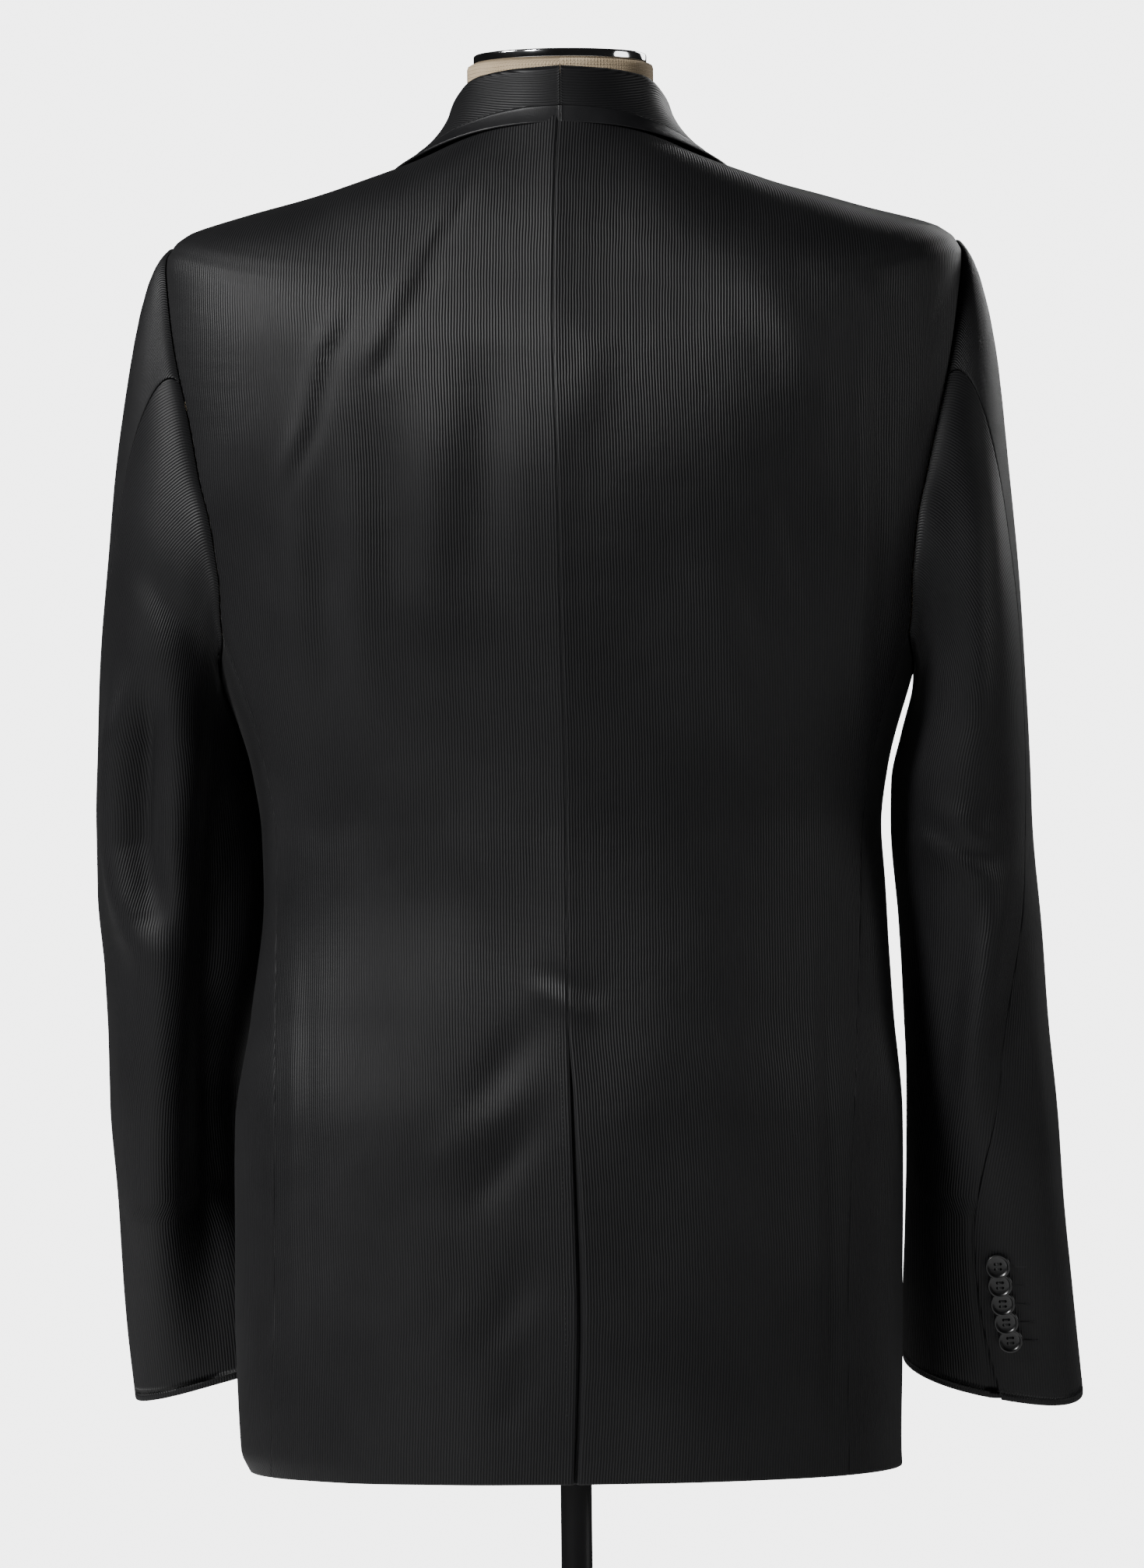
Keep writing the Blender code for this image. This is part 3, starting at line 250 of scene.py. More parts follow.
def body(side, around, run):
    """Points of the smooth body on one ring. Past either centre line they go on round the other side."""
    around = np.asarray(around, float)
    over = (around < 0) | (around > 1)
    place = np.where(around < 0, -around, np.where(around > 1, 2 - around, around))
    own, other = points_at(place, *ring(side, run)), points_at(place, *ring(-side, run))
    return np.where(over[..., None], other, own)


def body_normal(side, around, run):
    """The outward directions of the body on one ring."""
    around, run = np.asarray(around, float), min(run, NECK - NORMAL_STEP)
    across = body(side, around + NORMAL_STEP, run) - body(side, around - NORMAL_STEP, run)
    along = body(side, around, run + NORMAL_STEP) - body(side, around, max(run - NORMAL_STEP, HEM))
    return unit(np.cross(across, along) * side)


def around_at(side, run, out, front):
    """The place on a ring that lies out from the centre line, in its back or its front half."""
    places, points = ring(side, run)
    if out < 0:
        other = around_at(-side, run, -out, front)
        return 2 - other if front else -other
    chosen = places >= 0.5 if front else places <= 0.5
    outs, places = np.abs(points[chosen, 0]), places[chosen]
    return float(np.interp(out, outs[::-1], places[::-1]) if front else np.interp(out, outs, places))


def aside(side, run, front, distance):
    """A distance along a ring, as a difference in around."""
    around = 0.75 if front else 0.25
    step = np.linalg.norm(body(side, around + ASIDE_STEP, run) - body(side, around, run))
    return distance * ASIDE_STEP / step


print("waist:", round(2 * BODY["half_left"][6], 3), "m wide")

# %% [markdown]
# Worn cloth never lies quite flat. Small drag lines run from the neck and the shoulder blades towards the
# arms, soft tubes hang below them, and the skirt bends where it meets the vent. Every fold is one row here: a
# ridge or a valley with its width and height, or a step, which is a crease with a lit side and a dark one. A
# cloth simulation would make folds too, but not these ones in these places.

# %% The folds of the back
BACK_FOLDS = (
    ("step", 0.0032, 0.0015, (-0.0480, 1.4360), (-0.0749, 1.3930), (-0.1060, 1.3430)),
    ("step", 0.0044, 0.0016, (-0.0680, 1.3930), (-0.0764, 1.3778), (-0.0954, 1.3493), (-0.1120, 1.3140)),
    ("step", 0.0034, 0.0016, (-0.1130, 1.3750), (-0.1335, 1.3350), (-0.1430, 1.2950), (-0.1590, 1.2520)),
    ("ridge", 0.0060, 0.0006, (-0.0790, 1.3807), (-0.0921, 1.3440), (-0.1084, 1.3223)),
    ("ridge", 0.0130, -0.0020, (-0.1030, 1.3400), (-0.1075, 1.2900), (-0.1052, 1.2000)),
    ("ridge", 0.0130, -0.0034, (-0.1340, 1.3050), (-0.1340, 1.0900)),
    ("ridge", 0.0120, -0.0022, (-0.1690, 1.3000), (-0.1690, 1.1500)),
    ("ridge", 0.0130, -0.0018, (-0.0940, 1.3300), (-0.0940, 1.1600)),
    ("ridge", 0.0140, -0.0022, (-0.0430, 1.3700), (-0.0430, 1.1800)),
    ("ridge", 0.0130, 0.0026, (-0.1520, 1.3000), (-0.1520, 1.1000)),
    ("ridge", 0.0130, 0.0026, (-0.1185, 1.3000), (-0.1200, 1.1000)),
    ("ridge", 0.0140, 0.0018, (-0.0745, 1.3400), (-0.0750, 1.1400)),
    ("ridge", 0.0110, 0.0008, (-0.0255, 1.3500), (-0.0260, 1.2200)),
    ("ridge", 0.0140, 0.0022, (0.1050, 1.3900), (0.1540, 1.2850)),
    ("ridge", 0.0140, -0.0028, (0.1180, 1.3100), (0.1480, 1.1300)),
    ("ridge", 0.0120, -0.0018, (0.0980, 1.2500), (0.1200, 1.1400)),
    ("ridge", 0.0140, 0.0020, (0.0800, 1.2300), (0.1120, 1.0700)),
    ("step", 0.0050, 0.0016, (0.1720, 1.3700), (0.1725, 1.2300), (0.1700, 1.0700)),
    ("ridge", 0.0090, 0.0010, (0.2050, 1.3500), (0.2040, 1.2700)),
    ("step", 0.0050, 0.0012, (0.1770, 1.3800), (0.1870, 1.3200)),
    ("ridge", 0.0120, 0.0012, (0.0220, 1.3550), (0.0020, 1.2700)),
    ("ridge", 0.0120, -0.0034, (-0.0100, 0.9720), (-0.0790, 0.8790)),
    ("ridge", 0.0110, -0.0026, (-0.0040, 0.9250), (-0.0680, 0.8400)),
    ("ridge", 0.0110, -0.0024, (-0.0180, 0.8400), (-0.0500, 0.7640)),
    ("ridge", 0.0100, -0.0020, (-0.0160, 0.7850), (-0.0480, 0.7200)),
    ("ridge", 0.0120, 0.0020, (-0.0340, 0.9500), (-0.0860, 0.8560)),
    ("ridge", 0.0110, 0.0012, (-0.0540, 0.8100), (-0.0820, 0.7520)),
    ("step", 0.0050, 0.0010, (-0.0257, 0.9860), (0.0200, 0.9620)),
    ("ridge", 0.0110, 0.0028, (0.1620, 1.0500), (0.1770, 0.9620), (0.1880, 0.8800)),
    ("step", 0.0040, 0.0010, (-0.1520, 1.0200), (-0.1530, 0.8500), (-0.1510, 0.7000)),
    ("step", 0.0040, 0.0012, (0.1390, 1.0300), (0.1410, 0.8500), (0.1400, 0.6950)),
)


CENTRE = table(
    "run left right",
    (0.700, -0.0014, 0.0012),
    (0.7365, -0.0001, 0.0034),
    (0.804, 0.0015, 0.0059),
    (0.850, 0.0007, 0.0047),
    (0.917, -0.0007, 0.0015),
    (0.962, -0.0015, -0.0013),
    (1.090, -0.0013, -0.0013),
    (1.182, -0.0029, -0.0029),
    (1.260, -0.0038, -0.0038),
    (1.358, -0.0054, -0.0054),
    (1.473, -0.0036, -0.0036),
    (1.557, -0.0008, -0.0008),
)
RIDGE, RIDGE_WIDTH, RIDGE_RUN = 0.0040, 0.035, (0.70, 0.80)
STEP_FADE, RIDGE_FADE = 0.30, 0.48
FACING, SLEEVE_FACING = (0.15, 0.75), (0.10, 0.60)  # folds fade out where the cloth turns away from behind
RIPPLE = 0.00012
WAVES = ((71, 12, 34, 0.3), (43, -28, 58, 1.7), (-95, 35, 41, 2.9), (18, 77, 66, 4.4), (120, 22, -19, 5.1))


def fold_lift(folds, x, z):
    """How far a table of folds lifts the cloth, at places seen from behind."""
    lift = np.zeros(x.shape)
    for kind, width, height, *line in folds:
        line = np.array(line)
        steps = np.diff(line, axis=0)
        long = np.linalg.norm(steps, axis=1)
        nearest = np.full(x.shape, np.inf)
        signed, place = np.zeros(x.shape), np.zeros(x.shape)
        for k, (dx, dz) in enumerate(steps):
            ahead_x, ahead_z = x - line[k, 0], z - line[k, 1]
            t = np.clip((ahead_x * dx + ahead_z * dz) / long[k] ** 2, 0, 1)
            away = np.hypot(ahead_x - t * dx, ahead_z - t * dz)
            closer = away < nearest
            nearest = np.where(closer, away, nearest)
            signed = np.where(closer, np.copysign(away, ahead_z * dx - ahead_x * dz), signed)
            place = np.where(closer, (long[:k].sum() + t * long[k]) / long.sum(), place)
        fading = STEP_FADE if kind == "step" else RIDGE_FADE
        fade = ease(0, fading, place) * ease(0, fading, 1 - place)
        share = signed / width
        form = np.exp(-share**2) if kind == "ridge" else -share * np.exp(0.5 - share**2 / 2)
        lift += height * fade * form
    return lift


def ripple(points):
    """The slow unevenness that any worn cloth has, up to 0.6 mm high."""
    x, y, z = points[..., 0], points[..., 1], points[..., 2]
    return RIPPLE * sum(np.sin(a * x + b * y + c * z + phase) for a, b, c, phase in WAVES)


def centre_ridge(points):
    """The back stands up slightly along its centre seam, so its two halves face a little to the left and right."""
    away = np.abs(points[..., 0] - smooth(CENTRE["run"], CENTRE["right"], points[..., 2]))
    return RIDGE * np.exp(-away / RIDGE_WIDTH) * ease(*RIDGE_RUN, points[..., 2])


def cloth(side, around, run):
    """Points of the body's cloth with its folds, on one ring."""
    points, normals = body(side, around, run), body_normal(side, around, run)
    facing = ease(*FACING, -normals[..., 1])
    folds = fold_lift(BACK_FOLDS, points[..., 0], points[..., 2]) + centre_ridge(points)
    return points + normals * (facing * folds + ripple(points))[..., None]


print("folds on the back:", len(BACK_FOLDS))

# %% [markdown]
# A panel of cloth is a grid of points between two seams, closer together at its edges, where the cloth rolls
# over into a seam or a hem. It becomes a thin closed shell: a face side, a lining side, and a rim that is
# rounded where the edge is folded and free. Solidify could make the wall, but its rim would be square.

# %% From a grid of points to a piece of cloth
EDGE_STEPS = np.array([0.0, 0.0006, 0.0014, 0.0024, 0.0040])
WALL = 0.0014
SEAM = 0.00003
SEAM_DIP, DIP_WIDTH, HEM_DIP, VENT_DIP = 0.00020, 0.0008, 0.0002, 0.0003


def spread(length, count):
    """Shares of a line: close together at both ends and even between."""
    steps = EDGE_STEPS * min(1.0, length / (5 * EDGE_STEPS[-1]))
    middle = np.linspace(steps[-1], length - steps[-1], count)
    return np.concatenate([steps[:-1], middle, length - steps[-2::-1]]) / length


def row_length(points):
    return np.linalg.norm(np.diff(points, axis=0), axis=1).sum()


def distances(points, axis):
    """How far every point of a grid is along its own row or column."""
    steps = np.linalg.norm(np.diff(points, axis=axis), axis=2)
    padding = [(0, 0), (0, 0)]
    padding[axis] = (1, 0)
    return np.cumsum(np.pad(steps, padding), axis=axis)


def grid_normals(points, sign):
    across, along = np.gradient(points, axis=1), np.gradient(points, axis=0)
    return unit(np.cross(across, along) * sign)


def sink_seams(points, sign, dips):
    """Draws the cloth in a little along its seams. dips: depths at first column, last column, first row, last row."""
    across, along = distances(points, 1), distances(points, 0)
    reach = (across, across[:, -1:] - across, along, along[-1:] - along)
    sink = np.zeros(across.shape)
    for depth, away in zip(dips, reach):
        depth = np.asarray(depth, float)
        sink += (depth[:, None] if depth.ndim else depth) * np.exp(-((away / DIP_WIDTH) ** 2))
    return points - grid_normals(points, sign) * sink[..., None]


def rim_walk(rows, columns):
    """The grid's edge points in order, as row and column numbers."""
    first = [(0, c) for c in range(columns)]
    second = [(r, columns - 1) for r in range(1, rows)]
    third = [(rows - 1, c) for c in range(columns - 2, -1, -1)]
    fourth = [(r, 0) for r in range(rows - 2, 0, -1)]
    return np.array(first + second + third + fourth)


def add_object(name, points, faces, slots, materials, uv=None):
    """An object from points and faces, with a material for each face and its grain as a UV map in metres."""
    mesh = bpy.data.meshes.new(name)
    mesh.from_pydata(np.asarray(points).tolist(), [], faces)
    for material in materials:
        mesh.materials.append(material)
    mesh.polygons.foreach_set("material_index", np.asarray(slots, dtype=np.int32))
    mesh.shade_smooth()
    if uv is not None:
        corners = np.empty(len(mesh.loops), dtype=np.int32)
        mesh.loops.foreach_get("vertex_index", corners)
        layer = mesh.uv_layers.new(name="grain")
        layer.data.foreach_set("uv", np.asarray(uv, dtype=np.float32)[corners].ravel())
    return link(name, mesh)


def add_shell(name, points, sign, materials, wall=WALL, rolls=(0, 0, 0, 0), middle=0):
    """A closed thin piece of cloth. rolls: how far the rim is rounded out, in the order of the dips."""
    rows, columns, _ = points.shape
    normals = grid_normals(points, sign)
    inner = points - normals * wall
    walk = rim_walk(rows, columns)
    r, c = walk.T
    bulge = np.zeros(len(walk))
    out = np.zeros((len(walk), 3))
    edges = ((c == 0, (0, 1)), (c == columns - 1, (0, -1)), (r == 0, (1, 0)), (r == rows - 1, (-1, 0)))
    for roll, (on, (down, over)) in zip(rolls, edges):
        roll = np.asarray(roll, float)
        bulge[on] = np.maximum(bulge[on], roll[r[on]] if roll.ndim else roll)
        out[on] += unit(points[r[on], c[on]] - points[r[on] + down, c[on] + over])
    rim = (points[r, c] + inner[r, c]) / 2 + unit(out) * bulge[:, None]
    index = np.arange(rows * columns).reshape(rows, columns)
    quads = np.stack([index[:-1, :-1], index[:-1, 1:], index[1:, 1:], index[1:, :-1]], axis=-1).reshape(-1, 4)
    count = rows * columns
    a = index[r, c]
    b = np.roll(a, -1)
    mid_a = 2 * count + np.arange(len(walk))
    mid_b = np.roll(mid_a, -1)
    rims = np.concatenate([np.stack([b, a, mid_a, mid_b], 1), np.stack([mid_b, mid_a, a + count, b + count], 1)])
    faces = np.concatenate([quads, quads[:, ::-1] + count, rims])
    if sign < 0:
        faces = faces[:, ::-1]
    slots = np.concatenate([np.zeros(len(quads)), np.ones(len(quads)), np.zeros(len(rims))])
    across, along = distances(points, 1), distances(points, 0)
    across = across - across[:, middle][:, None]
    along = np.broadcast_to(along[:, columns // 2][:, None], across.shape)
    grain = np.stack([across, along], axis=-1).reshape(-1, 2)
    uv = np.concatenate([grain, grain, grain.reshape(rows, columns, 2)[r, c]])
    everything = np.concatenate([points.reshape(-1, 3), inner.reshape(-1, 3), rim])
    return add_object(name, everything, faces.tolist(), slots, materials, uv)


def hand_over(piece, node=None):
    """Tells the frame that the piece rides on the jacket, and hides the solid that it replaces."""
    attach(piece, "root")
    if node:
        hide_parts(node)


def declare(piece, node):
    """Hands a sheet over: it rides on the jacket, and the solid that it replaces is hidden.
    """
    hand_over(piece, node)


# %% [markdown]
# The finishes come before the pieces, because every piece names its finish when it is made. What more than one
# of them uses is a node group: ribs, a plain weave, and slow mottling. Ribs could be real geometry, but less
# than two millimetres apart a bump on the cloth's own grain looks the same and costs nothing.

# %% Groups for ribs, weave and mottling


def new_group(name, inputs, outputs):
    group = bpy.data.node_groups.new(name, "ShaderNodeTree")
    for title, value in inputs.items():
        socket = group.interface.new_socket(title, in_out="INPUT", socket_type="NodeSocketFloat")
        socket.default_value = value
    for title in outputs:
        group.interface.new_socket(title, in_out="OUTPUT", socket_type="NodeSocketFloat")
    return group, group.nodes.new("NodeGroupInput"), group.nodes.new("NodeGroupOutput")


def calculate(tree, operation, *values, limit=False):
    """A Math node on numbers or on other nodes' outputs."""
    node = tree.nodes.new("ShaderNodeMath")
    node.operation, node.use_clamp = operation, limit
    for socket, value in zip(node.inputs, values):
        if isinstance(value, (int, float)):
            socket.default_value = value
        else:
            tree.links.new(value, socket)
    return node.outputs[0]


def grain_of(tree):
    """The two directions of the cloth's grain, in metres."""
    node = tree.nodes.new("ShaderNodeUVMap")
    node.uv_map = "grain"
    split = tree.nodes.new("ShaderNodeSeparateXYZ")
    tree.links.new(node.outputs["UV"], split.inputs["Vector"])
    return split.outputs["X"], split.outputs["Y"]


def cloudiness(tree, scale, detail, stretch=(1, 1, 1)):
    """Soft noise on the object's own coordinates."""
    place = tree.nodes.new("ShaderNodeTexCoord")
    mapping = tree.nodes.new("ShaderNodeMapping")
    mapping.inputs["Scale"].default_value = stretch
    noise = tree.nodes.new("ShaderNodeTexNoise")
    noise.inputs["Scale"].default_value = scale
    noise.inputs["Detail"].default_value = detail
    tree.links.new(place.outputs["Object"], mapping.inputs["Vector"])
    tree.links.new(mapping.outputs["Vector"], noise.inputs["Vector"])
    return noise.outputs["Fac"]


def wave(tree, along, pitch, shift=0.0):
    """A smooth wave from 0 to 1 that repeats every pitch."""
    turns = calculate(tree, "MULTIPLY", calculate(tree, "DIVIDE", along, pitch), 2 * math.pi)
    swing = calculate(tree, "SINE", calculate(tree, "ADD", turns, shift))
    return calculate(tree, "MULTIPLY_ADD", swing, 0.5, 0.5)


def make_ribs():
    """Cords that run along the cloth, crossed by fine threads."""
    group, given, result = new_group("ribs", {"Pitch": 0.00165, "Thread": 0.0005}, ("Height", "Crown"))
    across, along = grain_of(group)
    drift = calculate(group, "MULTIPLY", cloudiness(group, 55.0, 2.0), 0.0011)
    cords = wave(group, calculate(group, "ADD", across, drift), given.outputs["Pitch"])
    threads = wave(group, along, given.outputs["Thread"])
    fuzz = cloudiness(group, 2600.0, 2.0)
    height = calculate(group, "MULTIPLY_ADD", threads, 0.05, calculate(group, "MULTIPLY", cords, 0.95))
    height = calculate(group, "MULTIPLY_ADD", fuzz, 0.14, height)
    group.links.new(height, result.inputs["Height"])
    # Crown is the cords' wave, highest on their tops. Mixed into a colour, it paints shade into the grooves.
    group.links.new(cords, result.inputs["Crown"])
    return group


def make_weave():
    """A plain weave: threads pass over and under each other, with thicker slubs here and there."""
    group, given, result = new_group("weave", {"Thread": 0.0009}, ("Height", "Crown"))
    across, along = grain_of(group)
    drift = calculate(group, "MULTIPLY", cloudiness(group, 90.0, 3.0), 0.0012)
    across = calculate(group, "ADD", across, drift)
    along = calculate(group, "ADD", along, drift)
    warp, weft = wave(group, across, given.outputs["Thread"]), wave(group, along, given.outputs["Thread"])
    double = calculate(group, "MULTIPLY", given.outputs["Thread"], 2.0)
    over = calculate(group, "MULTIPLY", wave(group, across, double, 0.8), wave(group, along, double, 0.8))
    crossing = calculate(group, "MULTIPLY", warp, weft)
    slub = cloudiness(group, 420.0, 3.0, (1.0, 1.0, 0.12))
    height = calculate(group, "MULTIPLY_ADD", slub, 0.45, calculate(group, "ADD", crossing, over))
    group.links.new(height, result.inputs["Height"])
    # Crown is where the threads cross on top. Mixed into a colour, it paints shade between the threads.
    group.links.new(crossing, result.inputs["Crown"])
    return group


def make_mottle():
    """Slow changes over a surface, from 0 to 1."""
    group, given, result = new_group("mottle", {"Scale": 12.0, "Contrast": 2.0}, ("Value",))
    place = group.nodes.new("ShaderNodeTexCoord")
    noise = group.nodes.new("ShaderNodeTexNoise")
    noise.inputs["Detail"].default_value = 4.0
    group.links.new(place.outputs["Object"], noise.inputs["Vector"])
    group.links.new(given.outputs["Scale"], noise.inputs["Scale"])
    centred = calculate(group, "SUBTRACT", noise.outputs["Fac"], 0.5)
    value = calculate(group, "MULTIPLY", centred, given.outputs["Contrast"])
    group.links.new(calculate(group, "ADD", value, 0.5, limit=True), result.inputs["Value"])
    return group


RIBS, WEAVE, MOTTLE = make_ribs(), make_weave(), make_mottle()
print("shader groups:", len([group for group in bpy.data.node_groups if group.bl_idname == "ShaderNodeTree"]))


# %% [markdown]
# Each finish is one Principled surface. What is the same all over it is set on its own sockets, and only the
# colour, the roughness and the bump change from place to place, through the groups. The corded cloth throws
# back little light straight on and more at a grazing angle, which draws the jacket's edges.

# %% The finishes


def put_group(tree, group, **values):
    node = tree.nodes.new("ShaderNodeGroup")
    node.node_tree = group
    for title, value in values.items():
        node.inputs[title].default_value = value
    return node.outputs


def blend_colours(tree, share, low, high):
    mix = tree.nodes.new("ShaderNodeMix")
    mix.data_type = "RGBA"
    mix.inputs["A"].default_value = (*low, 1)
    mix.inputs["B"].default_value = (*high, 1)
    tree.links.new(share, mix.inputs["Factor"])
    return mix.outputs["Result"]


def add_bump(tree, shader, height, distance):
    bump = tree.nodes.new("ShaderNodeBump")
    bump.inputs["Distance"].default_value = distance
    tree.links.new(height, bump.inputs["Height"])
    tree.links.new(bump.outputs["Normal"], shader.inputs["Normal"])


def make_finish(name, colour, roughness, colours, mottle=None, swing=None, relief=None, share=None, bump=0, **own):
    """A material with one Principled surface.

    colours: the darkest and the lightest. mottle: scale and contrast. swing: how far mottling changes the
    roughness, and its least value. relief: what raises the surface, a group with its inputs or a noise scale.
    share: how much mottling and relief count in the colour; the relief's part is painted shade in the low parts.
    own: other constant values by socket name.
    """
    material = bpy.data.materials.new(name)
    material.use_nodes = True
    tree = material.node_tree
    shader = tree.nodes["Principled BSDF"]
    constants = {"Base Color": (*colour, 1), "Roughness": roughness, **own}
    for title, value in constants.items():
        shader.inputs[title.replace("_", " ")].default_value = value
    height = crown = None
    if isinstance(relief, tuple):
        outputs = put_group(tree, relief[0], **relief[1])
        height, crown = outputs["Height"], outputs["Crown"]
    elif relief:
        height = crown = cloudiness(tree, relief, 2.0)
    patches = put_group(tree, MOTTLE, Scale=mottle[0], Contrast=mottle[1])["Value"] if mottle else crown
    shade = patches
    if share:
        # The relief's part of the colour is painted shade: the low parts between cords or threads come out darker.
        shade = calculate(tree, "MULTIPLY_ADD", patches, share[0], calculate(tree, "MULTIPLY", crown, share[1]))
    tree.links.new(blend_colours(tree, shade, *colours), shader.inputs["Base Color"])
    if swing:
        tree.links.new(calculate(tree, "MULTIPLY_ADD", patches, *swing), shader.inputs["Roughness"])
    if bump:
        add_bump(tree, shader, patches if height is None else height, bump)
    return material


# The corded cloth's colour is darker in the grooves between the cords. That is painted shade, besides the ribs' bump.
# The slow mottling in it is the cloth's own uneven tone.
CORDED = make_finish(
    "corded_cloth_cover", (0.010, 0.010, 0.011), 0.55, ((0.0030, 0.0030, 0.0034), (0.0100, 0.0100, 0.0108)),
    mottle=(14.0, 2.2), swing=(0.10, 0.43), relief=(RIBS, {"Pitch": 0.00165, "Thread": 0.0005}),
    share=(0.25, 0.75), bump=0.00022, Specular_IOR_Level=0.22, Sheen_Weight=0.04, Sheen_Roughness=0.35,
)
SATIN = make_finish(
    "satin_cover", (0.008, 0.008, 0.009), 0.32, ((0.0060, 0.0060, 0.0066), (0.0100, 0.0100, 0.0108)),
    mottle=(30.0, 2.0), swing=(0.10, 0.30), relief=(WEAVE, {"Thread": 0.00035}), bump=0.00002,
    Specular_IOR_Level=0.35, Sheen_Weight=0.05, Sheen_Roughness=0.25,
)
LINING = make_finish(
    "lining", (0.010, 0.010, 0.012), 0.38, ((0.0075, 0.0075, 0.009), (0.0130, 0.0130, 0.0150)),
    mottle=(18.0, 1.6), swing=(0.14, 0.32), relief=(WEAVE, {"Thread": 0.0005}), bump=0.00005,
    Specular_IOR_Level=0.35,
)
HORN = make_finish(
    "button_black_cover", (0.003, 0.003, 0.0035), 0.34, ((0.0022, 0.0022, 0.0025), (0.0050, 0.0050, 0.0052)),
    mottle=(260.0, 2.0), swing=(0.10, 0.28), bump=0.00002, Coat_Weight=0.25, Coat_Roughness=0.06,
)
THREAD = make_finish(
    "thread", (0.010, 0.010, 0.011), 0.5, ((0.006, 0.006, 0.0065), (0.020, 0.020, 0.021)),
    relief=3200.0, bump=0.00006, Specular_IOR_Level=0.3,
)
# The linen's colour is darker between its threads than where they cross. That is painted shade, besides the weave's
# bump. The mottling in it is the linen's own uneven tone.
LINEN = make_finish(
    "linen_cover", (0.50, 0.44, 0.34), 0.9, ((0.330, 0.245, 0.150), (0.720, 0.590, 0.420)),
    mottle=(40.0, 2.4), swing=(0.1, 0.82), relief=(WEAVE, {"Thread": 0.0010}), share=(0.45, 0.6), bump=0.00035,
    Specular_IOR_Level=0.2,
)
CHROME = make_finish(
    "chrome_cover", (0.78, 0.78, 0.79), 0.07, ((0.70, 0.70, 0.71), (0.82, 0.82, 0.83)),
    mottle=(70.0, 2.5), swing=(0.07, 0.05), Metallic=1.0,
)
BLACK_METAL = make_finish(
    "black_metal_cover", (0.012, 0.012, 0.013), 0.36, ((0.010, 0.010, 0.011), (0.018, 0.018, 0.019)),
    mottle=(20.0, 2.0), swing=(0.12, 0.30), relief=1400.0, bump=0.00006,
)
floor.data.materials.append(make_finish(
    "floor_paper", (0.80, 0.80, 0.80), 0.75, ((0.79, 0.79, 0.79), (0.82, 0.82, 0.82)), mottle=(1.5, 1.2),
))
print("finishes:", len(bpy.data.materials))

# %% [markdown]
# The back is two long panels. They meet in the centre seam, which wanders by a few millimetres on the real
# jacket, and part below it in a vent: the left flap lies over an underlay that the right panel carries. One
# grid with a cut would join the halves, but two shells leave the seam open as sewing does.

# %% The two backs
SIDE_BACK = table(
    "run left right",
    (0.700, 0.1730, 0.1540),
    (0.800, 0.1697, 0.1545),
    (0.930, 0.1680, 0.1610),
    (1.058, 0.1664, 0.1665),
    (1.109, 0.1737, 0.1740),
    (1.177, 0.1950, 0.1946),
)
SIDE_FRONT = table(
    "run left right",
    (0.700, 0.1580, 0.1580),
    (0.930, 0.1560, 0.1560),
    (1.058, 0.1500, 0.1500),
    (1.177, 0.1969, 0.1969),
)
ARMHOLE = table(
    "run behind before",
    (1.177, 0.394, 0.600),
    (1.210, 0.369, 0.618),
    (1.240, 0.364, 0.618),
    (1.267, 0.372, 0.612),
    (1.300, 0.383, 0.600),
    (1.335, 0.404, 0.583),
    (1.365, 0.428, 0.562),
    (1.385, 0.452, 0.540),
    (1.396, 0.474, 0.522),
    (1.402, 0.500, 0.500),
)
FREE_EDGE = 0.0005


def side_back(side, run):
    return around_at(side, run, smooth(SIDE_BACK["run"], SIDE_BACK[NAMES[side]], run), front=False)


def side_front(side, run):
    return around_at(side, run, smooth(SIDE_FRONT["run"], SIDE_FRONT[NAMES[side]], run), front=True)


def armhole(run, front):
    if run >= POINT - 1e-6:
        return 0.5
    return float(smooth(ARMHOLE["run"], ARMHOLE["before" if front else "behind"], run))


def body_runs():
    """The rows that all the body's panels share, about four millimetres apart."""
    stretches = (
        (HEM + EDGE_STEPS[-1], VENT_TOP, 64),
        (VENT_TOP, SEAM_TOP, 54),
        (SEAM_TOP, HEAD_CURVE, 54),
        (HEAD_CURVE, POINT, 9),
        (POINT, SHOULDER_TURN, 4),
        (SHOULDER_TURN, NECK, 36),
    )
    rows = [np.linspace(low, high, count)[1:] for low, high, count in stretches]
    return np.concatenate([HEM + EDGE_STEPS, *rows])


def panel(side, edges, runs, count, shift=None):
    """A grid of the body's cloth between two edges, given as a function of run that returns both places."""
    rows = []
    for run in runs:
        low, high = edges(run)
        shares = spread(row_length(body(side, np.linspace(low, high, 40), run)), count)
        around = low + (high - low) * shares
        row = cloth(side, around, run)
        if shift:
            row = row + body_normal(side, around, run) * shift(row, run)[:, None]
        rows.append(row)
    return np.array(rows)


def back_edges(side, run):
    centre = float(smooth(CENTRE["run"], CENTRE[NAMES[side]], run))
    trim = aside(side, run, False, SEAM)
    low = around_at(side, run, side * centre, front=False) + trim
    if run <= SEAM_TOP + 1e-6:
        return low, side_back(side, run) - trim
    return low, armhole(run, False) - trim


RUNS = body_runs()
BACK_COLUMNS = 50
vent = RUNS <= VENT_TOP
for side in (LEFT, RIGHT):
    points = panel(side, lambda run: back_edges(side, run), RUNS, BACK_COLUMNS)
    seam_dips = np.where(vent, VENT_DIP, SEAM_DIP)
    points = sink_seams(points, side, (seam_dips, SEAM_DIP, HEM_DIP, 0.0))
    rolls = (np.where(vent, FREE_EDGE, 0.0), 0.0, FREE_EDGE, 0.0)
    piece = add_shell(f"back_{NAMES[side]}_cloth", points, side, (CORDED, LINING), rolls=rolls)
    declare(piece, f"back_{NAMES[side]}")

# %% [markdown]
# The vent's underlay is the part of the right panel that folds in and passes behind the left flap. It is a
# strip of its own here, because a grid that is wider only below the vent's top would bunch its columns. Its
# fold shows as the dark slit beside the flap's edge.

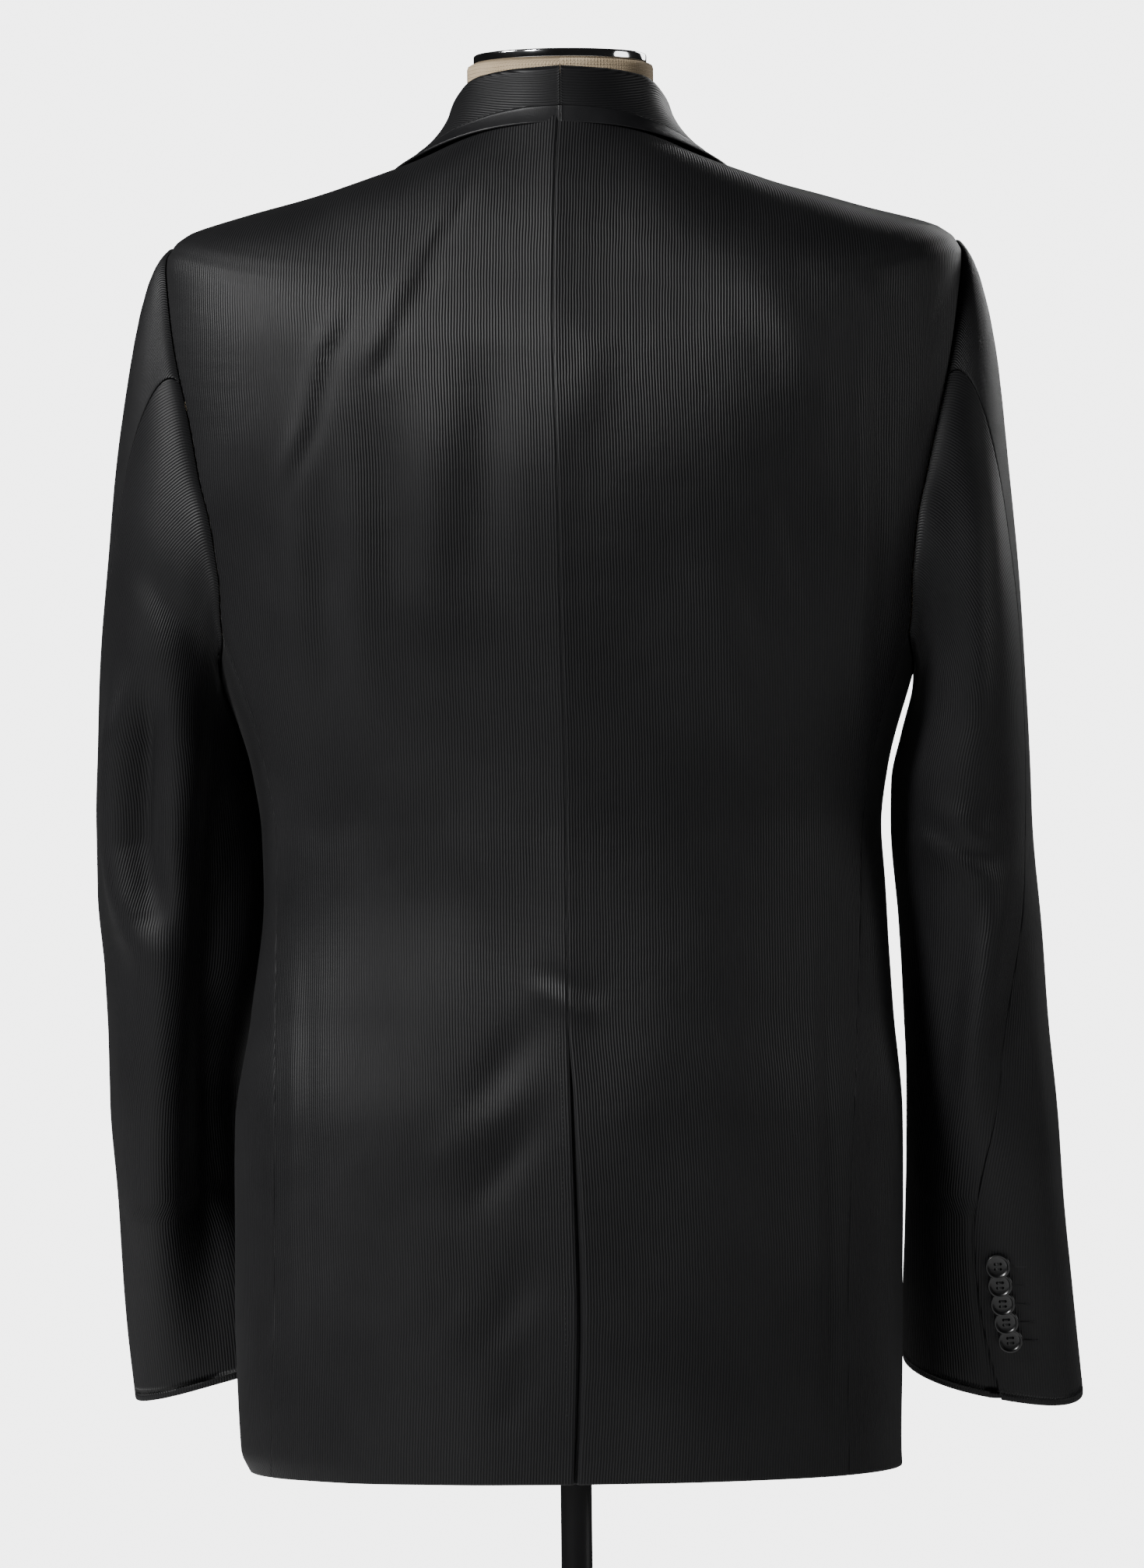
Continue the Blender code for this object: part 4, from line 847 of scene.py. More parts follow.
# %% The vent's underlay
UNDERLAY_DEPTH, UNDERLAY_WIDTH, UNDERLAY_COLUMNS, UNDERLAY_BUNCH = 0.0032, 0.036, 14, 1.3
FOLD_PAST, FOLD_RISE, FOLD_BEND = 0.0012, 0.0012, (-0.004, 0.0005)


def underlay_row(run):
    fold = float(smooth(CENTRE["run"], CENTRE["right"], run)) + FOLD_PAST
    x = fold - UNDERLAY_WIDTH * np.linspace(0, 1, UNDERLAY_COLUMNS) ** UNDERLAY_BUNCH
    places = [around_at(LEFT, run, -value, False) for value in x]
    depth = UNDERLAY_DEPTH - FOLD_RISE * ease(*FOLD_BEND, x - fold)
    return cloth(LEFT, places, run) - body_normal(LEFT, places, run) * depth[:, None]


underlay = np.array([underlay_row(run) for run in RUNS[vent]])[:, ::-1]
piece = add_shell("vent_underlay", underlay, 1, (CORDED, LINING), wall=0.0010, rolls=(0.0003,) * 4)
declare(piece, None)

# %% [markdown]
# The side panels take the jacket round the ribs, from the side-back seam to the side-front seam, and end in
# the low curve of the armhole. The rows bend up with that curve, so the top edge stays one clean line.

# %% The side panels
SIDE_COLUMNS, ARMHOLE_ROUND = 26, 0.7


def side_edges(side, run):
    low = side_back(side, run) + aside(side, run, False, SEAM)
    return low, side_front(side, run) - aside(side, run, True, SEAM)


def side_panel(side):
    """The side panel's grid: each column is drawn on the body and then cut off at the armhole's low curve."""
    runs = RUNS[RUNS <= SEAM_TOP + 1e-6]
    grid = panel(side, lambda run: side_edges(side, run), runs, SIDE_COLUMNS)
    shares = distances(grid, 1)[-1] / distances(grid, 1)[-1, -1]
    tops = SEAM_TOP - (SEAM_TOP - ARMHOLE_LOW) * np.sin(np.pi * shares).clip(0) ** ARMHOLE_ROUND
    heights = HEM + (tops[None, :] - HEM) * (runs[:, None] - HEM) / (SEAM_TOP - HEM)
    columns = [smooth(runs, grid[:, c], heights[:, c]).T for c in range(len(shares))]
    return np.stack(columns, axis=1)


side_grids = {side: side_panel(side) for side in (LEFT, RIGHT)}
for side in (LEFT, RIGHT):
    points = sink_seams(side_grids[side], side, (SEAM_DIP, SEAM_DIP, HEM_DIP, 0.0))
    name = f"side_{NAMES[side]}"
    rolls = (0.0, 0.0, FREE_EDGE, 0.0)
    piece = add_shell(name + "_cloth", points, side, (CORDED, LINING), rolls=rolls, middle=SIDE_COLUMNS // 2)
    declare(piece, name)

# %% [markdown]
# The fronts hang from the shoulders, cross at one button and part below it in a round corner. The left front
# laps over the right, which lies a little deeper there. Their upper edges roll over into the lapels.

# %% The fronts
BUTTON_RUN, LAP_DEPTH, LAP_OUT, LAP_END = 1.050, 0.0034, (0.022, 0.040), (1.085, 1.125)
FRONT_COLUMNS, CORNER_TOP, CORNER_ROWS = 46, 0.712, 13
FRONT_EDGE = table(
    "run out",
    (0.700, 0.0720),
    (0.704, 0.0560),
    (0.712, 0.0410),
    (0.730, 0.0230),
    (0.760, 0.0070),
    (0.800, -0.0050),
    (0.860, -0.0130),
    (0.950, -0.0180),
    (1.050, -0.0180),
)
LAPEL = table(
    "run roll edge",
    (1.050, -0.0180, -0.0140),
    (1.062, -0.0130, 0.0040),
    (1.080, -0.0065, 0.0220),
    (1.118, 0.0055, 0.0500),
    (1.160, 0.0165, 0.0740),
    (1.220, 0.0300, 0.0980),
    (1.290, 0.0440, 0.1160),
    (1.350, 0.0540, 0.1240),
    (1.402, 0.0610, 0.1270),
    (1.440, 0.0655, 0.1270),
    (1.500, 0.0690, 0.1250),
    (1.557, 0.0700, 0.0745),
)


def front_edges(side, run):
    rows, name = (FRONT_EDGE, "out") if run < BUTTON_RUN else (LAPEL, "roll")
    trim = aside(side, run, True, SEAM)
    high = around_at(side, run, smooth(rows["run"], rows[name], run), front=True) - trim
    if run <= SEAM_TOP + 1e-6:
        return side_front(side, run) + trim, high
    return armhole(run, True) + trim, high


def under_lap(row, run):
    """The right front sinks where the left front covers it."""
    return -LAP_DEPTH * (1 - ease(*LAP_OUT, row[:, 0])) * (1 - ease(*LAP_END, run))


front_runs = np.unique(np.concatenate([RUNS, np.linspace(HEM, CORNER_TOP, CORNER_ROWS)]))
for side in (LEFT, RIGHT):
    shift = under_lap if side == RIGHT else None
    points = panel(side, lambda run: front_edges(side, run), front_runs, FRONT_COLUMNS, shift)
    points = sink_seams(points, side, (SEAM_DIP, HEM_DIP, HEM_DIP, 0.0))
    rolls = (0.0, FREE_EDGE, FREE_EDGE, 0.0)
    piece = add_shell(f"front_{NAMES[side]}_cloth", points, side, (CORDED, LINING), rolls=rolls)
    declare(piece, f"front_{NAMES[side]}")

# %% [markdown]
# A two-piece sleeve is a bent tube. Its head starts along the armhole and swells a little, and its rings then
# drop down the arm, bend forwards at the elbow and end in the cuff. The upper and under pieces meet in a back
# and a front seam. A plain swept tube wouldn't hang forwards as a tailored sleeve does.

# %% The sleeves' surface
SLEEVE_TOP, SLEEVE_GAP = 1.120, 0.0006
HEAD_SWELL_LOW, HEAD_SWELL, HEAD_FULL = 0.0035, 0.0150, 0.7
HEAD_RISE, HEAD_LEAN, HEAD_PULL, RISE_STEP = 0.0015, 0.45, 0.45, 0.01
SLEEVE = {
    LEFT: table(
        "z inner outer y_mid deep square rise lift",
        (1.1200, 0.1864, 0.2711, 0.027, 0.0740, 2.00, 0.00, 0.00),
        (1.0740, 0.1765, 0.2733, 0.036, 0.0680, 2.00, 0.00, 0.03),
        (1.0350, 0.1735, 0.2734, 0.042, 0.0650, 2.00, 0.04, 0.06),
        (0.9900, 0.1760, 0.2698, 0.048, 0.0640, 2.05, 0.08, 0.08),
        (0.9520, 0.1840, 0.2687, 0.058, 0.0640, 2.10, 0.10, 0.10),
        (0.9170, 0.1900, 0.2687, 0.068, 0.0620, 2.15, 0.12, 0.12),
        (0.8665, 0.1880, 0.2661, 0.084, 0.0570, 2.25, 0.14, 0.16),
        (0.8290, 0.1790, 0.2648, 0.095, 0.0510, 2.35, 0.14, 0.18),
        (0.7830, 0.1650, 0.2620, 0.108, 0.0440, 2.45, 0.13, 0.21),
        (0.7480, 0.1560, 0.2588, 0.118, 0.0395, 2.55, 0.11, 0.27),
    ),
    RIGHT: table(
        "z inner outer y_mid deep square rise lift",
        (1.1200, 0.1925, 0.2650, 0.010, 0.0745, 2.00, 0.00, 0.00),
        (1.0900, 0.1860, 0.2665, 0.014, 0.0715, 2.00, 0.00, 0.02),
        (1.0660, 0.1855, 0.2676, 0.017, 0.0690, 2.00, 0.02, 0.03),
        (1.0100, 0.1895, 0.2719, 0.021, 0.0640, 2.00, 0.06, 0.06),
        (0.9560, 0.1920, 0.2758, 0.026, 0.0610, 2.05, 0.13, 0.08),
        (0.9120, 0.1935, 0.2799, 0.032, 0.0570, 2.10, 0.20, 0.10),
        (0.8685, 0.1935, 0.2836, 0.042, 0.0520, 2.15, 0.26, 0.13),
        (0.8235, 0.1925, 0.2882, 0.054, 0.0470, 2.20, 0.31, 0.16),
        (0.7860, 0.1915, 0.2918, 0.066, 0.0430, 2.25, 0.32, 0.18),
        (0.7450, 0.1915, 0.2965, 0.079, 0.0400, 2.30, 0.31, 0.20),
    ),
}
SLEEVE_SEAM = {
    LEFT: table(
        "down behind before",
        (0.0, 60.7, -125.2),
        (0.3, 50.0, -122.0),
        (0.5, 40.0, -121.0),
        (0.75, 28.0, -122.0),
        (1.0, 16.0, -124.0),
        (1.3, -4.0, -128.0),
        (1.6, -20.0, -134.0),
        (2.0, -32.0, -140.0),
    ),
    RIGHT: table(
        "down behind before",
        (0.0, 60.7, -125.2),
        (0.5, 44.0, -120.0),
        (1.0, 26.0, -122.0),
        (1.25, 42.0, -122.0),
        (1.5, 76.0, -118.0),
        (1.75, 100.0, -112.0),
        (2.0, 88.0, -112.0),
    ),
}
SLEEVE_FOLDS = {
    LEFT: (
        ("ridge", 0.0110, -0.0036, (-0.2600, 1.2420), (-0.2461, 1.2248), (-0.2200, 1.1870), (-0.1980, 1.1560)),
        (
            "step", 0.0085, 0.0105, (-0.2440, 1.1700), (-0.2480, 1.1100), (-0.2490, 1.0620), (-0.2420, 1.0150),
            (-0.2310, 0.9850),
        ),
        (
            "step", 0.0160, 0.0105, (-0.2040, 1.1900), (-0.2080, 1.1100), (-0.2150, 1.0400), (-0.2190, 0.9900),
            (-0.2210, 0.9000), (-0.2250, 0.8100), (-0.2270, 0.7300),
        ),
        ("ridge", 0.0110, 0.0016, (-0.2650, 0.9900), (-0.2560, 0.9200), (-0.2500, 0.8200)),
    ),
    RIGHT: (
        ("ridge", 0.0130, 0.0022, (0.2400, 1.2900), (0.2350, 1.1800)),
        ("ridge", 0.0130, -0.0028, (0.2120, 1.2500), (0.2190, 1.1500), (0.2230, 1.0800)),
        ("ridge", 0.0110, 0.0036, (0.1980, 1.0850), (0.2250, 1.0600), (0.2520, 1.0530)),
        ("step", 0.0055, 0.0020, (0.1960, 1.0700), (0.2240, 1.0480), (0.2500, 1.0370)),
        ("ridge", 0.0090, 0.0048, (0.2540, 1.0700), (0.2371, 0.9949), (0.2277, 0.9300), (0.2240, 0.8500)),
        ("ridge", 0.0110, -0.0046, (0.2300, 1.0400), (0.2180, 0.9800), (0.2100, 0.9000)),
        ("ridge", 0.0110, -0.0042, (0.2620, 1.0400), (0.2520, 0.9500), (0.2480, 0.8600)),
        ("ridge", 0.0120, 0.0022, (0.2680, 0.9700), (0.2700, 0.8600), (0.2760, 0.7800)),
    ),
}


def armhole_loop(side):
    """The armhole's edge from the shoulder point, down behind, under the arm and up in front, with its turns."""
    runs = RUNS[(RUNS >= SEAM_TOP - 1e-6) & (RUNS <= POINT + 1e-6)]
    behind = [cloth(side, armhole(run, False), run) for run in runs[::-1]]
    before = [cloth(side, armhole(run, True), run) for run in runs]
    points = np.vstack([behind, side_grids[side][-1][2:-2], before])
    lengths = lengths_along(points)
    return 360 * lengths / lengths[-1], points


loops = {side: armhole_loop(side) for side in (LEFT, RIGHT)}


def sleeve_ring(side, z, turn):
    """Points of a sleeve below its head."""
    at = read(SLEEVE[side], z)
    half, middle = (at["outer"] - at["inner"]) / 2, (at["outer"] + at["inner"]) / 2
    cosine, sine = np.cos(np.radians(turn)), np.sin(np.radians(turn))
    out = middle + half * np.copysign(np.abs(cosine) ** (2 / at["square"]), cosine)
    y = at["y_mid"] - at["deep"] * np.copysign(np.abs(sine) ** (2 / at["square"]), sine)
    height = z + at["rise"] * (y - at["y_mid"]) - at["lift"] * (out - middle)
    return np.stack([side * out, y, height], axis=-1)


def sleeve_row(side, down, turn):
    """Points of a sleeve: down is 0 at the armhole, 1 at the foot of the sleeve head and 2 at the cuff."""
    turn = np.asarray(turn, float)
    if down >= 1:
        return sleeve_ring(side, SLEEVE_TOP - (down - 1) * (SLEEVE_TOP - SLEEVE[side]["z"][0]), turn)
    angle = np.radians(turn)
    high = 0.5 + 0.5 * np.cos(angle)
    turns, corners = loops[side]
    start = points_at(turn % 360, turns, corners)
    end = sleeve_ring(side, SLEEVE_TOP, turn)
    backwards = -HEAD_LEAN * np.sin(angle)
    out = unit(np.stack([np.full(turn.shape, float(side)), backwards, np.zeros(turn.shape)], axis=-1))
    up = np.array([0, 0, 1.0])
    start = start + out * SLEEVE_GAP + up * (SLEEVE_GAP * (1 - high))[..., None]
    swell = HEAD_SWELL_LOW + HEAD_SWELL * high**HEAD_FULL
    leave = start + out * swell[..., None] + up * (HEAD_RISE * high)[..., None]
    rising = (end - sleeve_ring(side, SLEEVE_TOP - RISE_STEP, turn)) / RISE_STEP
    arrive = end + rising * (HEAD_PULL * (start[..., 2] - end[..., 2]))[..., None]
    t = down
    return (1 - t) ** 3 * start + 3 * t * (1 - t) ** 2 * leave + 3 * t * t * (1 - t) * arrive + t**3 * end


def sleeve_frame(side, down, turn):
    """A point of a sleeve, its outward direction and the direction down the arm."""
    step, bend = 0.01, 2.0
    point, before, after = sleeve_row(side, down, [turn, turn - bend, turn + bend])
    high, low = sleeve_row(side, down - step, [turn])[0], sleeve_row(side, min(down + step, 2.0), [turn])[0]
    normal = unit(np.cross(after - before, high - low) * -side)
    fall = low - high
    return point, normal, unit(fall - normal * np.dot(fall, normal))


print("armhole lengths:", [round(float(row_length(points)), 3) for _, points in loops.values()])

# %% [markdown]
# The folds go on before the walls, as on the body. At the cuff the two pieces don't meet edge to edge: the
# upper sleeve's folded edge lies over the under sleeve, which is the vent that the cuff buttons close. The
# under sleeve therefore reaches some millimetres further there, and a little deeper.

# %% The four sleeve pieces
SLEEVE_COLUMNS = 58
CUFF_VENT_TOP, VENT_FADE, DEPTH_FADE = 1.70, 0.02, 0.03
VENT_LAP, VENT_DEPTH, VENT_SLIP = 11.0, 0.0019, (-4.0, 0.5)
SEAM_TURN, SLEEVE_DIP = 0.22, 0.0002


def sleeve_downs(side):
    head = np.concatenate([[0, 0.003, 0.007, 0.012], np.linspace(0.02, 1, 62)])
    arm = np.linspace(1, 2, 96)[1:]
    length = SLEEVE_TOP - SLEEVE[side]["z"][0]
    return np.concatenate([head, arm[:-1], 2 - EDGE_STEPS[::-1] / length])


def sleeve_piece(side, upper):
    rows = []
    downs = sleeve_downs(side)
    for down in downs:
        at = read(SLEEVE_SEAM[side], down)
        low, high = (at["before"], at["behind"]) if upper else (at["behind"], at["before"] + 360)
        low, high = low + SEAM_TURN, high - SEAM_TURN
        lap = 0.0 if upper else VENT_LAP * ease(CUFF_VENT_TOP - VENT_FADE, CUFF_VENT_TOP + VENT_FADE, down)
        full = np.linspace(low - lap, high, 60)
        turns = low - lap + (high - low + lap) * spread(row_length(sleeve_row(side, down, full)), SLEEVE_COLUMNS)
        row = sleeve_row(side, down, turns)
        rows.append(np.concatenate([row, (low - turns)[:, None]], axis=1))
    grid = np.array(rows)
    return grid[..., :3], grid[..., 3], downs


def fold_sleeve(side, points, sign):
    normals = grid_normals(points, sign)
    facing = ease(*SLEEVE_FACING, -normals[..., 1])
    lift = facing * fold_lift(SLEEVE_FOLDS[side], points[..., 0], points[..., 2]) + ripple(points)
    return points + normals * lift[..., None]


for side in (LEFT, RIGHT):
    for name, upper in (("upper_sleeve", True), ("under_sleeve", False)):
        points, past, downs = sleeve_piece(side, upper)
        points = fold_sleeve(side, points, side)
        cuff = downs > CUFF_VENT_TOP
        open_dip = np.where(cuff, 0.0, SLEEVE_DIP)
        first, last = (SLEEVE_DIP, open_dip) if upper else (open_dip, SLEEVE_DIP)
        points = sink_seams(points, side, (first, last, 0.0, HEM_DIP))
        if not upper:
            opening = ease(CUFF_VENT_TOP - DEPTH_FADE, CUFF_VENT_TOP + VENT_FADE, downs)
            under = ease(*VENT_SLIP, past) * opening[:, None]
            points = points - grid_normals(points, side) * (VENT_DEPTH * under)[..., None]
        rolls = (0.0, np.where(cuff, FREE_EDGE, 0.0) if upper else 0.0, 0.0, FREE_EDGE)
        piece = add_shell(
            f"{name}_{NAMES[side]}_cloth", points, side, (CORDED, LINING), rolls=rolls, middle=SLEEVE_COLUMNS // 2
        )
        declare(piece, f"{name}_{NAMES[side]}")

# %% [markdown]
# The shawl collar is one band of cloth that stands up round the neck, rolls over and falls, and runs on down
# both fronts as the lapels. Its cross-section changes from a tight roll at the back to a flat lapel, so each
# station along it gets its own line. A satin edge is sewn round it, ten millimetres wide.

# %% The collar's surface
COLLAR = table(
    "station seam_around turn roll_z roll_out roll_run edge_around edge_run neck sag",
    (0.00, 0.000, 0.0, 1.4975, 0.0608, 1.557, 0.000, 1.5440, 1.0, 0.62),
    (0.50, 0.220, 47.0, 1.4935, 0.0612, 1.557, 0.235, 1.5430, 1.0, 0.62),
    (0.80, 0.390, 72.0, 1.4835, 0.0600, 1.557, 0.370, 1.5400, 1.0, 0.62),
    (1.00, 0.500, 90.0, 1.4740, 0.0600, 1.557, 0.485, 1.5375, 1.0, 0.60),
    (1.30, 0.590, 105.0, 1.4620, 0.0615, 1.550, 0.600, 1.5210, 0.80, 0.50),
    (1.65, 0.660, 120.0, 1.4480, 0.0660, 1.530, 0.683, 1.4850, 0.30, 0.44),
    (2.00, 0.700, 130.0, 1.4350, 0.0700, 1.500, 0.744, 1.4400, 0.0, 0.42),
)
LAPEL_HEAD, HEAD_DROP = 1.500, 0.060
LAPEL_END, CROSSING_GAP = {LEFT: BUTTON_RUN + 0.006, RIGHT: 1.078}, 0.0078
STAND_LIFT, OVERHANG, EDGE_LIFT = 0.0012, 0.0022, 0.0020
ROLL_FORWARD, FALL_SWELL, FALL_LEAN = 0.002, 0.0045, 0.10
LAPEL_LIFT, LAPEL_SETTLE = 0.0052, 0.0016
# The bends of the stand: their share of the way from seam to roll, and how far out and up they lie.
STAND_BENDS = ((0.5, -0.0015, -0.0020), (1.0, -0.0004, -0.0035), (1.0, 0.0016, 0.0))
# The bends of a lapel's turned edge: how far they lie towards the lapel's edge and away from the front.
LAPEL_BENDS = (
    (-OVERHANG, STAND_LIFT), (-OVERHANG - 0.0009, 0.0022), (-OVERHANG + 0.0002, 0.0042), (0.0010, LAPEL_LIFT)
)
STAND_COLUMNS, FALL_COLUMNS = 4, 6
fall_places = np.linspace(0, 1, FALL_COLUMNS + 1)[1:]


def neck_line(side, at):
    """The stand, the roll and the fall round the neck, as the corner points of one smooth line."""
    seam = body(side, at["seam_around"], NECK) + np.array([0, 0, STAND_LIFT])
    turn = math.radians(at["turn"])
    away = np.array([side * math.sin(turn), -math.cos(turn), 0.0])
    roll = away * at["roll_out"] + np.array([0, ROLL_FORWARD, at["roll_z"]])
    edge = body(side, at["edge_around"], at["edge_run"])
    edge = edge + body_normal(side, at["edge_around"], at["edge_run"]) * EDGE_LIFT
    rise = np.array([0, 0, 1.0])
    stand = [seam * (1 - share) + roll * share + away * out + rise * up for share, out, up in STAND_BENDS]
    bend = roll + away * FALL_SWELL + (edge - roll) * np.array([FALL_LEAN, FALL_LEAN, at["sag"]])
    fall = [(1 - t) ** 2 * stand[-1] + 2 * t * (1 - t) * bend + t * t * edge for t in fall_places]
    return np.array([seam, *stand, *fall])


def roll_line(side, run):
    """Where a lapel turns over. The right one stops at the left one's edge where they cross."""
    out = float(smooth(LAPEL["run"], LAPEL["roll"], run))
    if side == RIGHT:
        out = max(out, CROSSING_GAP - out)
    return around_at(side, run, out, front=True)


def lapel_line(side, roll_run, edge_around, edge_run):
    """The lapel: it turns over the front's rolled edge and lies on the front."""
    start = roll_line(side, roll_run)
    point, normal = body(side, start, roll_run), body_normal(side, start, roll_run)
    along = body(side, start - 0.01, roll_run) - point
    out = unit(along - normal * np.dot(along, normal))
    stand = [point + out * aside_by + normal * up for aside_by, up in LAPEL_BENDS]
    fall = []
    for t in fall_places:
        around, run = start + (edge_around - start) * t, roll_run + (edge_run - roll_run) * t
        fall.append(body(side, around, run) + body_normal(side, around, run) * (LAPEL_LIFT - LAPEL_SETTLE * t))
    return np.array(stand + fall)


def collar_line(side, station):
    """The collar's cross-section at a station, from the inside seam to the outer edge."""
    if station <= 2:
        at = {name: float(value) for name, value in read(COLLAR, station).items()}
        if station < 1:
            return neck_line(side, at)
        lapel = lapel_line(side, at["roll_run"], at["edge_around"], at["edge_run"])
        return at["neck"] * neck_line(side, at) + (1 - at["neck"]) * lapel
    run = LAPEL_HEAD - (LAPEL_HEAD - LAPEL_END[side]) * (station - 2)
    edge_run = run - HEAD_DROP * (1 - float(ease(2.0, 2.6, station)))
    edge = around_at(side, edge_run, smooth(LAPEL["run"], LAPEL["edge"], edge_run), front=True)
    return lapel_line(side, run, edge, edge_run)


def through(corners, each):
    """A smooth line through corner points, with some points between each pair."""
    padded = np.vstack([corners[:1], corners, corners[-1:]])
    t = np.linspace(0, 1, each, endpoint=False)[:, None]
    parts = []
    for i in range(len(corners) - 1):
        before, here, there, after = padded[i:i + 4]
        bend = t * (1 - t) ** 2 * (there - before) / 2 + t * t * (t - 1) * (after - here) / 2
        parts.append(here * (1 + 2 * t) * (1 - t) ** 2 + there * t * t * (3 - 2 * t) + bend)
    return np.vstack([*parts, corners[-1:]])


def along_line(line, places):
    """Points of a line at distances along it."""
    return points_at(places, lengths_along(line), line)


# %% The collar and its satin edge
BAND, BAND_DIP, BAND_WALL, COLLAR_WALL = 0.0104, 0.00015, 0.0015, 0.0016
BAND_COLUMNS, COLLAR_COLUMNS, LINE_STEPS, BAND_SHARE = 6, 44, 16, 0.4
start = np.array([0.0005, 0.003, 0.008, 0.015])  # close together, where the halves roll into their seam
stations = np.concatenate([start, np.linspace(0.024, 1, 44), np.linspace(1, 2, 40)[1:], np.linspace(2, 3, 110)[1:]])


def collar_grids(side):
    """The collar's grid up to its satin edge, and the edge's own grid."""
    collar, band = [], []
    for station in stations:
        line = through(collar_line(side, station), LINE_STEPS)
        long = row_length(line)
        fall = row_length(line[(STAND_COLUMNS - 1) * LINE_STEPS:])
        wide = min(BAND, BAND_SHARE * fall)
        seam = long - wide
        collar.append(along_line(line, spread(seam - SEAM, COLLAR_COLUMNS) * (seam - SEAM)))
        band.append(along_line(line, seam + SEAM + (wide - SEAM) * spread(wide - SEAM, BAND_COLUMNS)))
    return np.array(collar), np.array(band)


for side in (LEFT, RIGHT):
    collar, band = collar_grids(side)
    sides = NAMES[side]
    collar = sink_seams(collar, -side, (0.0, BAND_DIP, SEAM_DIP, 0.0))
    piece = add_shell(
        f"collar_{sides}_cloth", collar, -side, (CORDED, CORDED), wall=COLLAR_WALL, rolls=(0.0003, 0, 0, 0.0004)
    )
    declare(piece, f"collar_{sides}")
    band = sink_seams(band, -side, (BAND_DIP, 0.0, SEAM_DIP, 0.0))
    piece = add_shell(
        f"collar_band_{sides}_satin", band, -side, (SATIN, SATIN), wall=BAND_WALL, rolls=(0, 0.0005, 0, 0.0004)
    )
    declare(piece, f"collar_band_{sides}")

# %% [markdown]
# The buttons are polished discs with a raised rim, a dished face and four holes, sewn on with thread. One
# button is turned and drilled with care, and copies of its mesh are moved to their places, so all of them
# match as bought buttons do. The drilling is a boolean, because holes in a turned face are hard to wire.

# %% One button
CUFF_BUTTON, FRONT_BUTTON, BUTTON_THICK, CLEAR = 0.0144, 0.0200, 0.0022, 0.0003
BUTTON_SIDES, HOLE_SIZE, HOLE_PLACE = 56, 0.115, 0.21
THREAD_APART, THREAD_THICK, THREAD_SIDES = 0.35, 0.36, 6
# The button's outline in shares of its radius and its thickness: rounded edge, raised rim, dished face.
BUTTON_OUTLINE = (
    (0.86, 0.0), (0.93, 0.05), (0.975, 0.20), (1.0, 0.45), (0.992, 0.72), (0.965, 0.92),
    (0.925, 1.0), (0.87, 1.0), (0.82, 0.95),
    (0.775, 0.82), (0.72, 0.70), (0.64, 0.645), (0.3, 0.62), (0.0, 0.62),
)
# The thread's way from hole to hole, in shares of the holes' place and of the thickness.
THREAD_PATH = ((-1, -0.9), (-1, 0.2), (-0.75, 0.62), (0, 0.80), (0.75, 0.62), (1, 0.2), (1, -0.9))


def turned_mesh(name, profile, sides, materials):
    """A solid turned about Z from (radius, height) points, bottom to top."""
    points, faces = [(0, 0, profile[0][1])], []
    turns = 2 * np.pi * np.arange(sides) / sides
    for radius, height in profile[1:-1]:
        points += [(radius * math.cos(turn), radius * math.sin(turn), height) for turn in turns]
    points.append((0, 0, profile[-1][1]))
    last = len(points) - 1
    top = last - sides
    for i in range(sides):
        j = (i + 1) % sides
        faces.append((0, 1 + j, 1 + i))
        for r in range(len(profile) - 3):
            low, high = 1 + r * sides, 1 + (r + 1) * sides
            faces.append((low + i, low + j, high + j, high + i))
        faces.append((top + i, top + j, last))
    mesh = bpy.data.meshes.new(name)
    mesh.from_pydata(points, [], faces)
    for material in materials:
        mesh.materials.append(material)
    mesh.shade_smooth()
    return mesh


def plain_mesh(made, name):
    """The object's mesh with its modifiers worked in."""
    evaluated = made.evaluated_get(bpy.context.evaluated_depsgraph_get())
    mesh = bpy.data.meshes.new_from_object(evaluated)
    mesh.name = name
    return mesh


def make_button(diameter):
    """A four-hole button with its thread, standing on the XY plane."""
    radius = diameter / 2
    outline = [(0, 0.0), *[(radius * out, BUTTON_THICK * up) for out, up in BUTTON_OUTLINE]]
    blank = link("button_blank", turned_mesh("button_blank", outline, BUTTON_SIDES, (HORN,)))
    drills = bmesh.new()
    hole, spacing = radius * HOLE_SIZE, radius * HOLE_PLACE
    for x, y in ((1, 1), (1, -1), (-1, -1), (-1, 1)):
        made = bmesh.ops.create_cone(
            drills, cap_ends=True, segments=16, radius1=hole, radius2=hole, depth=4 * BUTTON_THICK
        )
        bmesh.ops.translate(drills, verts=made["verts"], vec=(x * spacing, y * spacing, 0))
    drill_mesh = bpy.data.meshes.new("drills")
    drills.to_mesh(drill_mesh)
    drills.free()
    drill_mesh.materials.append(HORN)
    cutter = link("drills", drill_mesh)
    cut = blank.modifiers.new("holes", "BOOLEAN")
    cut.operation, cut.object = "DIFFERENCE", cutter
    mesh = plain_mesh(blank, "button")
    for made in (blank, cutter):
        bpy.data.objects.remove(made)
    mesh.materials.clear()
    mesh.materials.append(HORN)
    mesh.materials.append(THREAD)
    whole = bmesh.new()
    whole.from_mesh(mesh)
    add_thread(whole, hole, spacing)
    whole.to_mesh(mesh)
    whole.free()
    mesh.shade_smooth()
    mesh.set_sharp_from_angle(angle=math.radians(40))
    return mesh


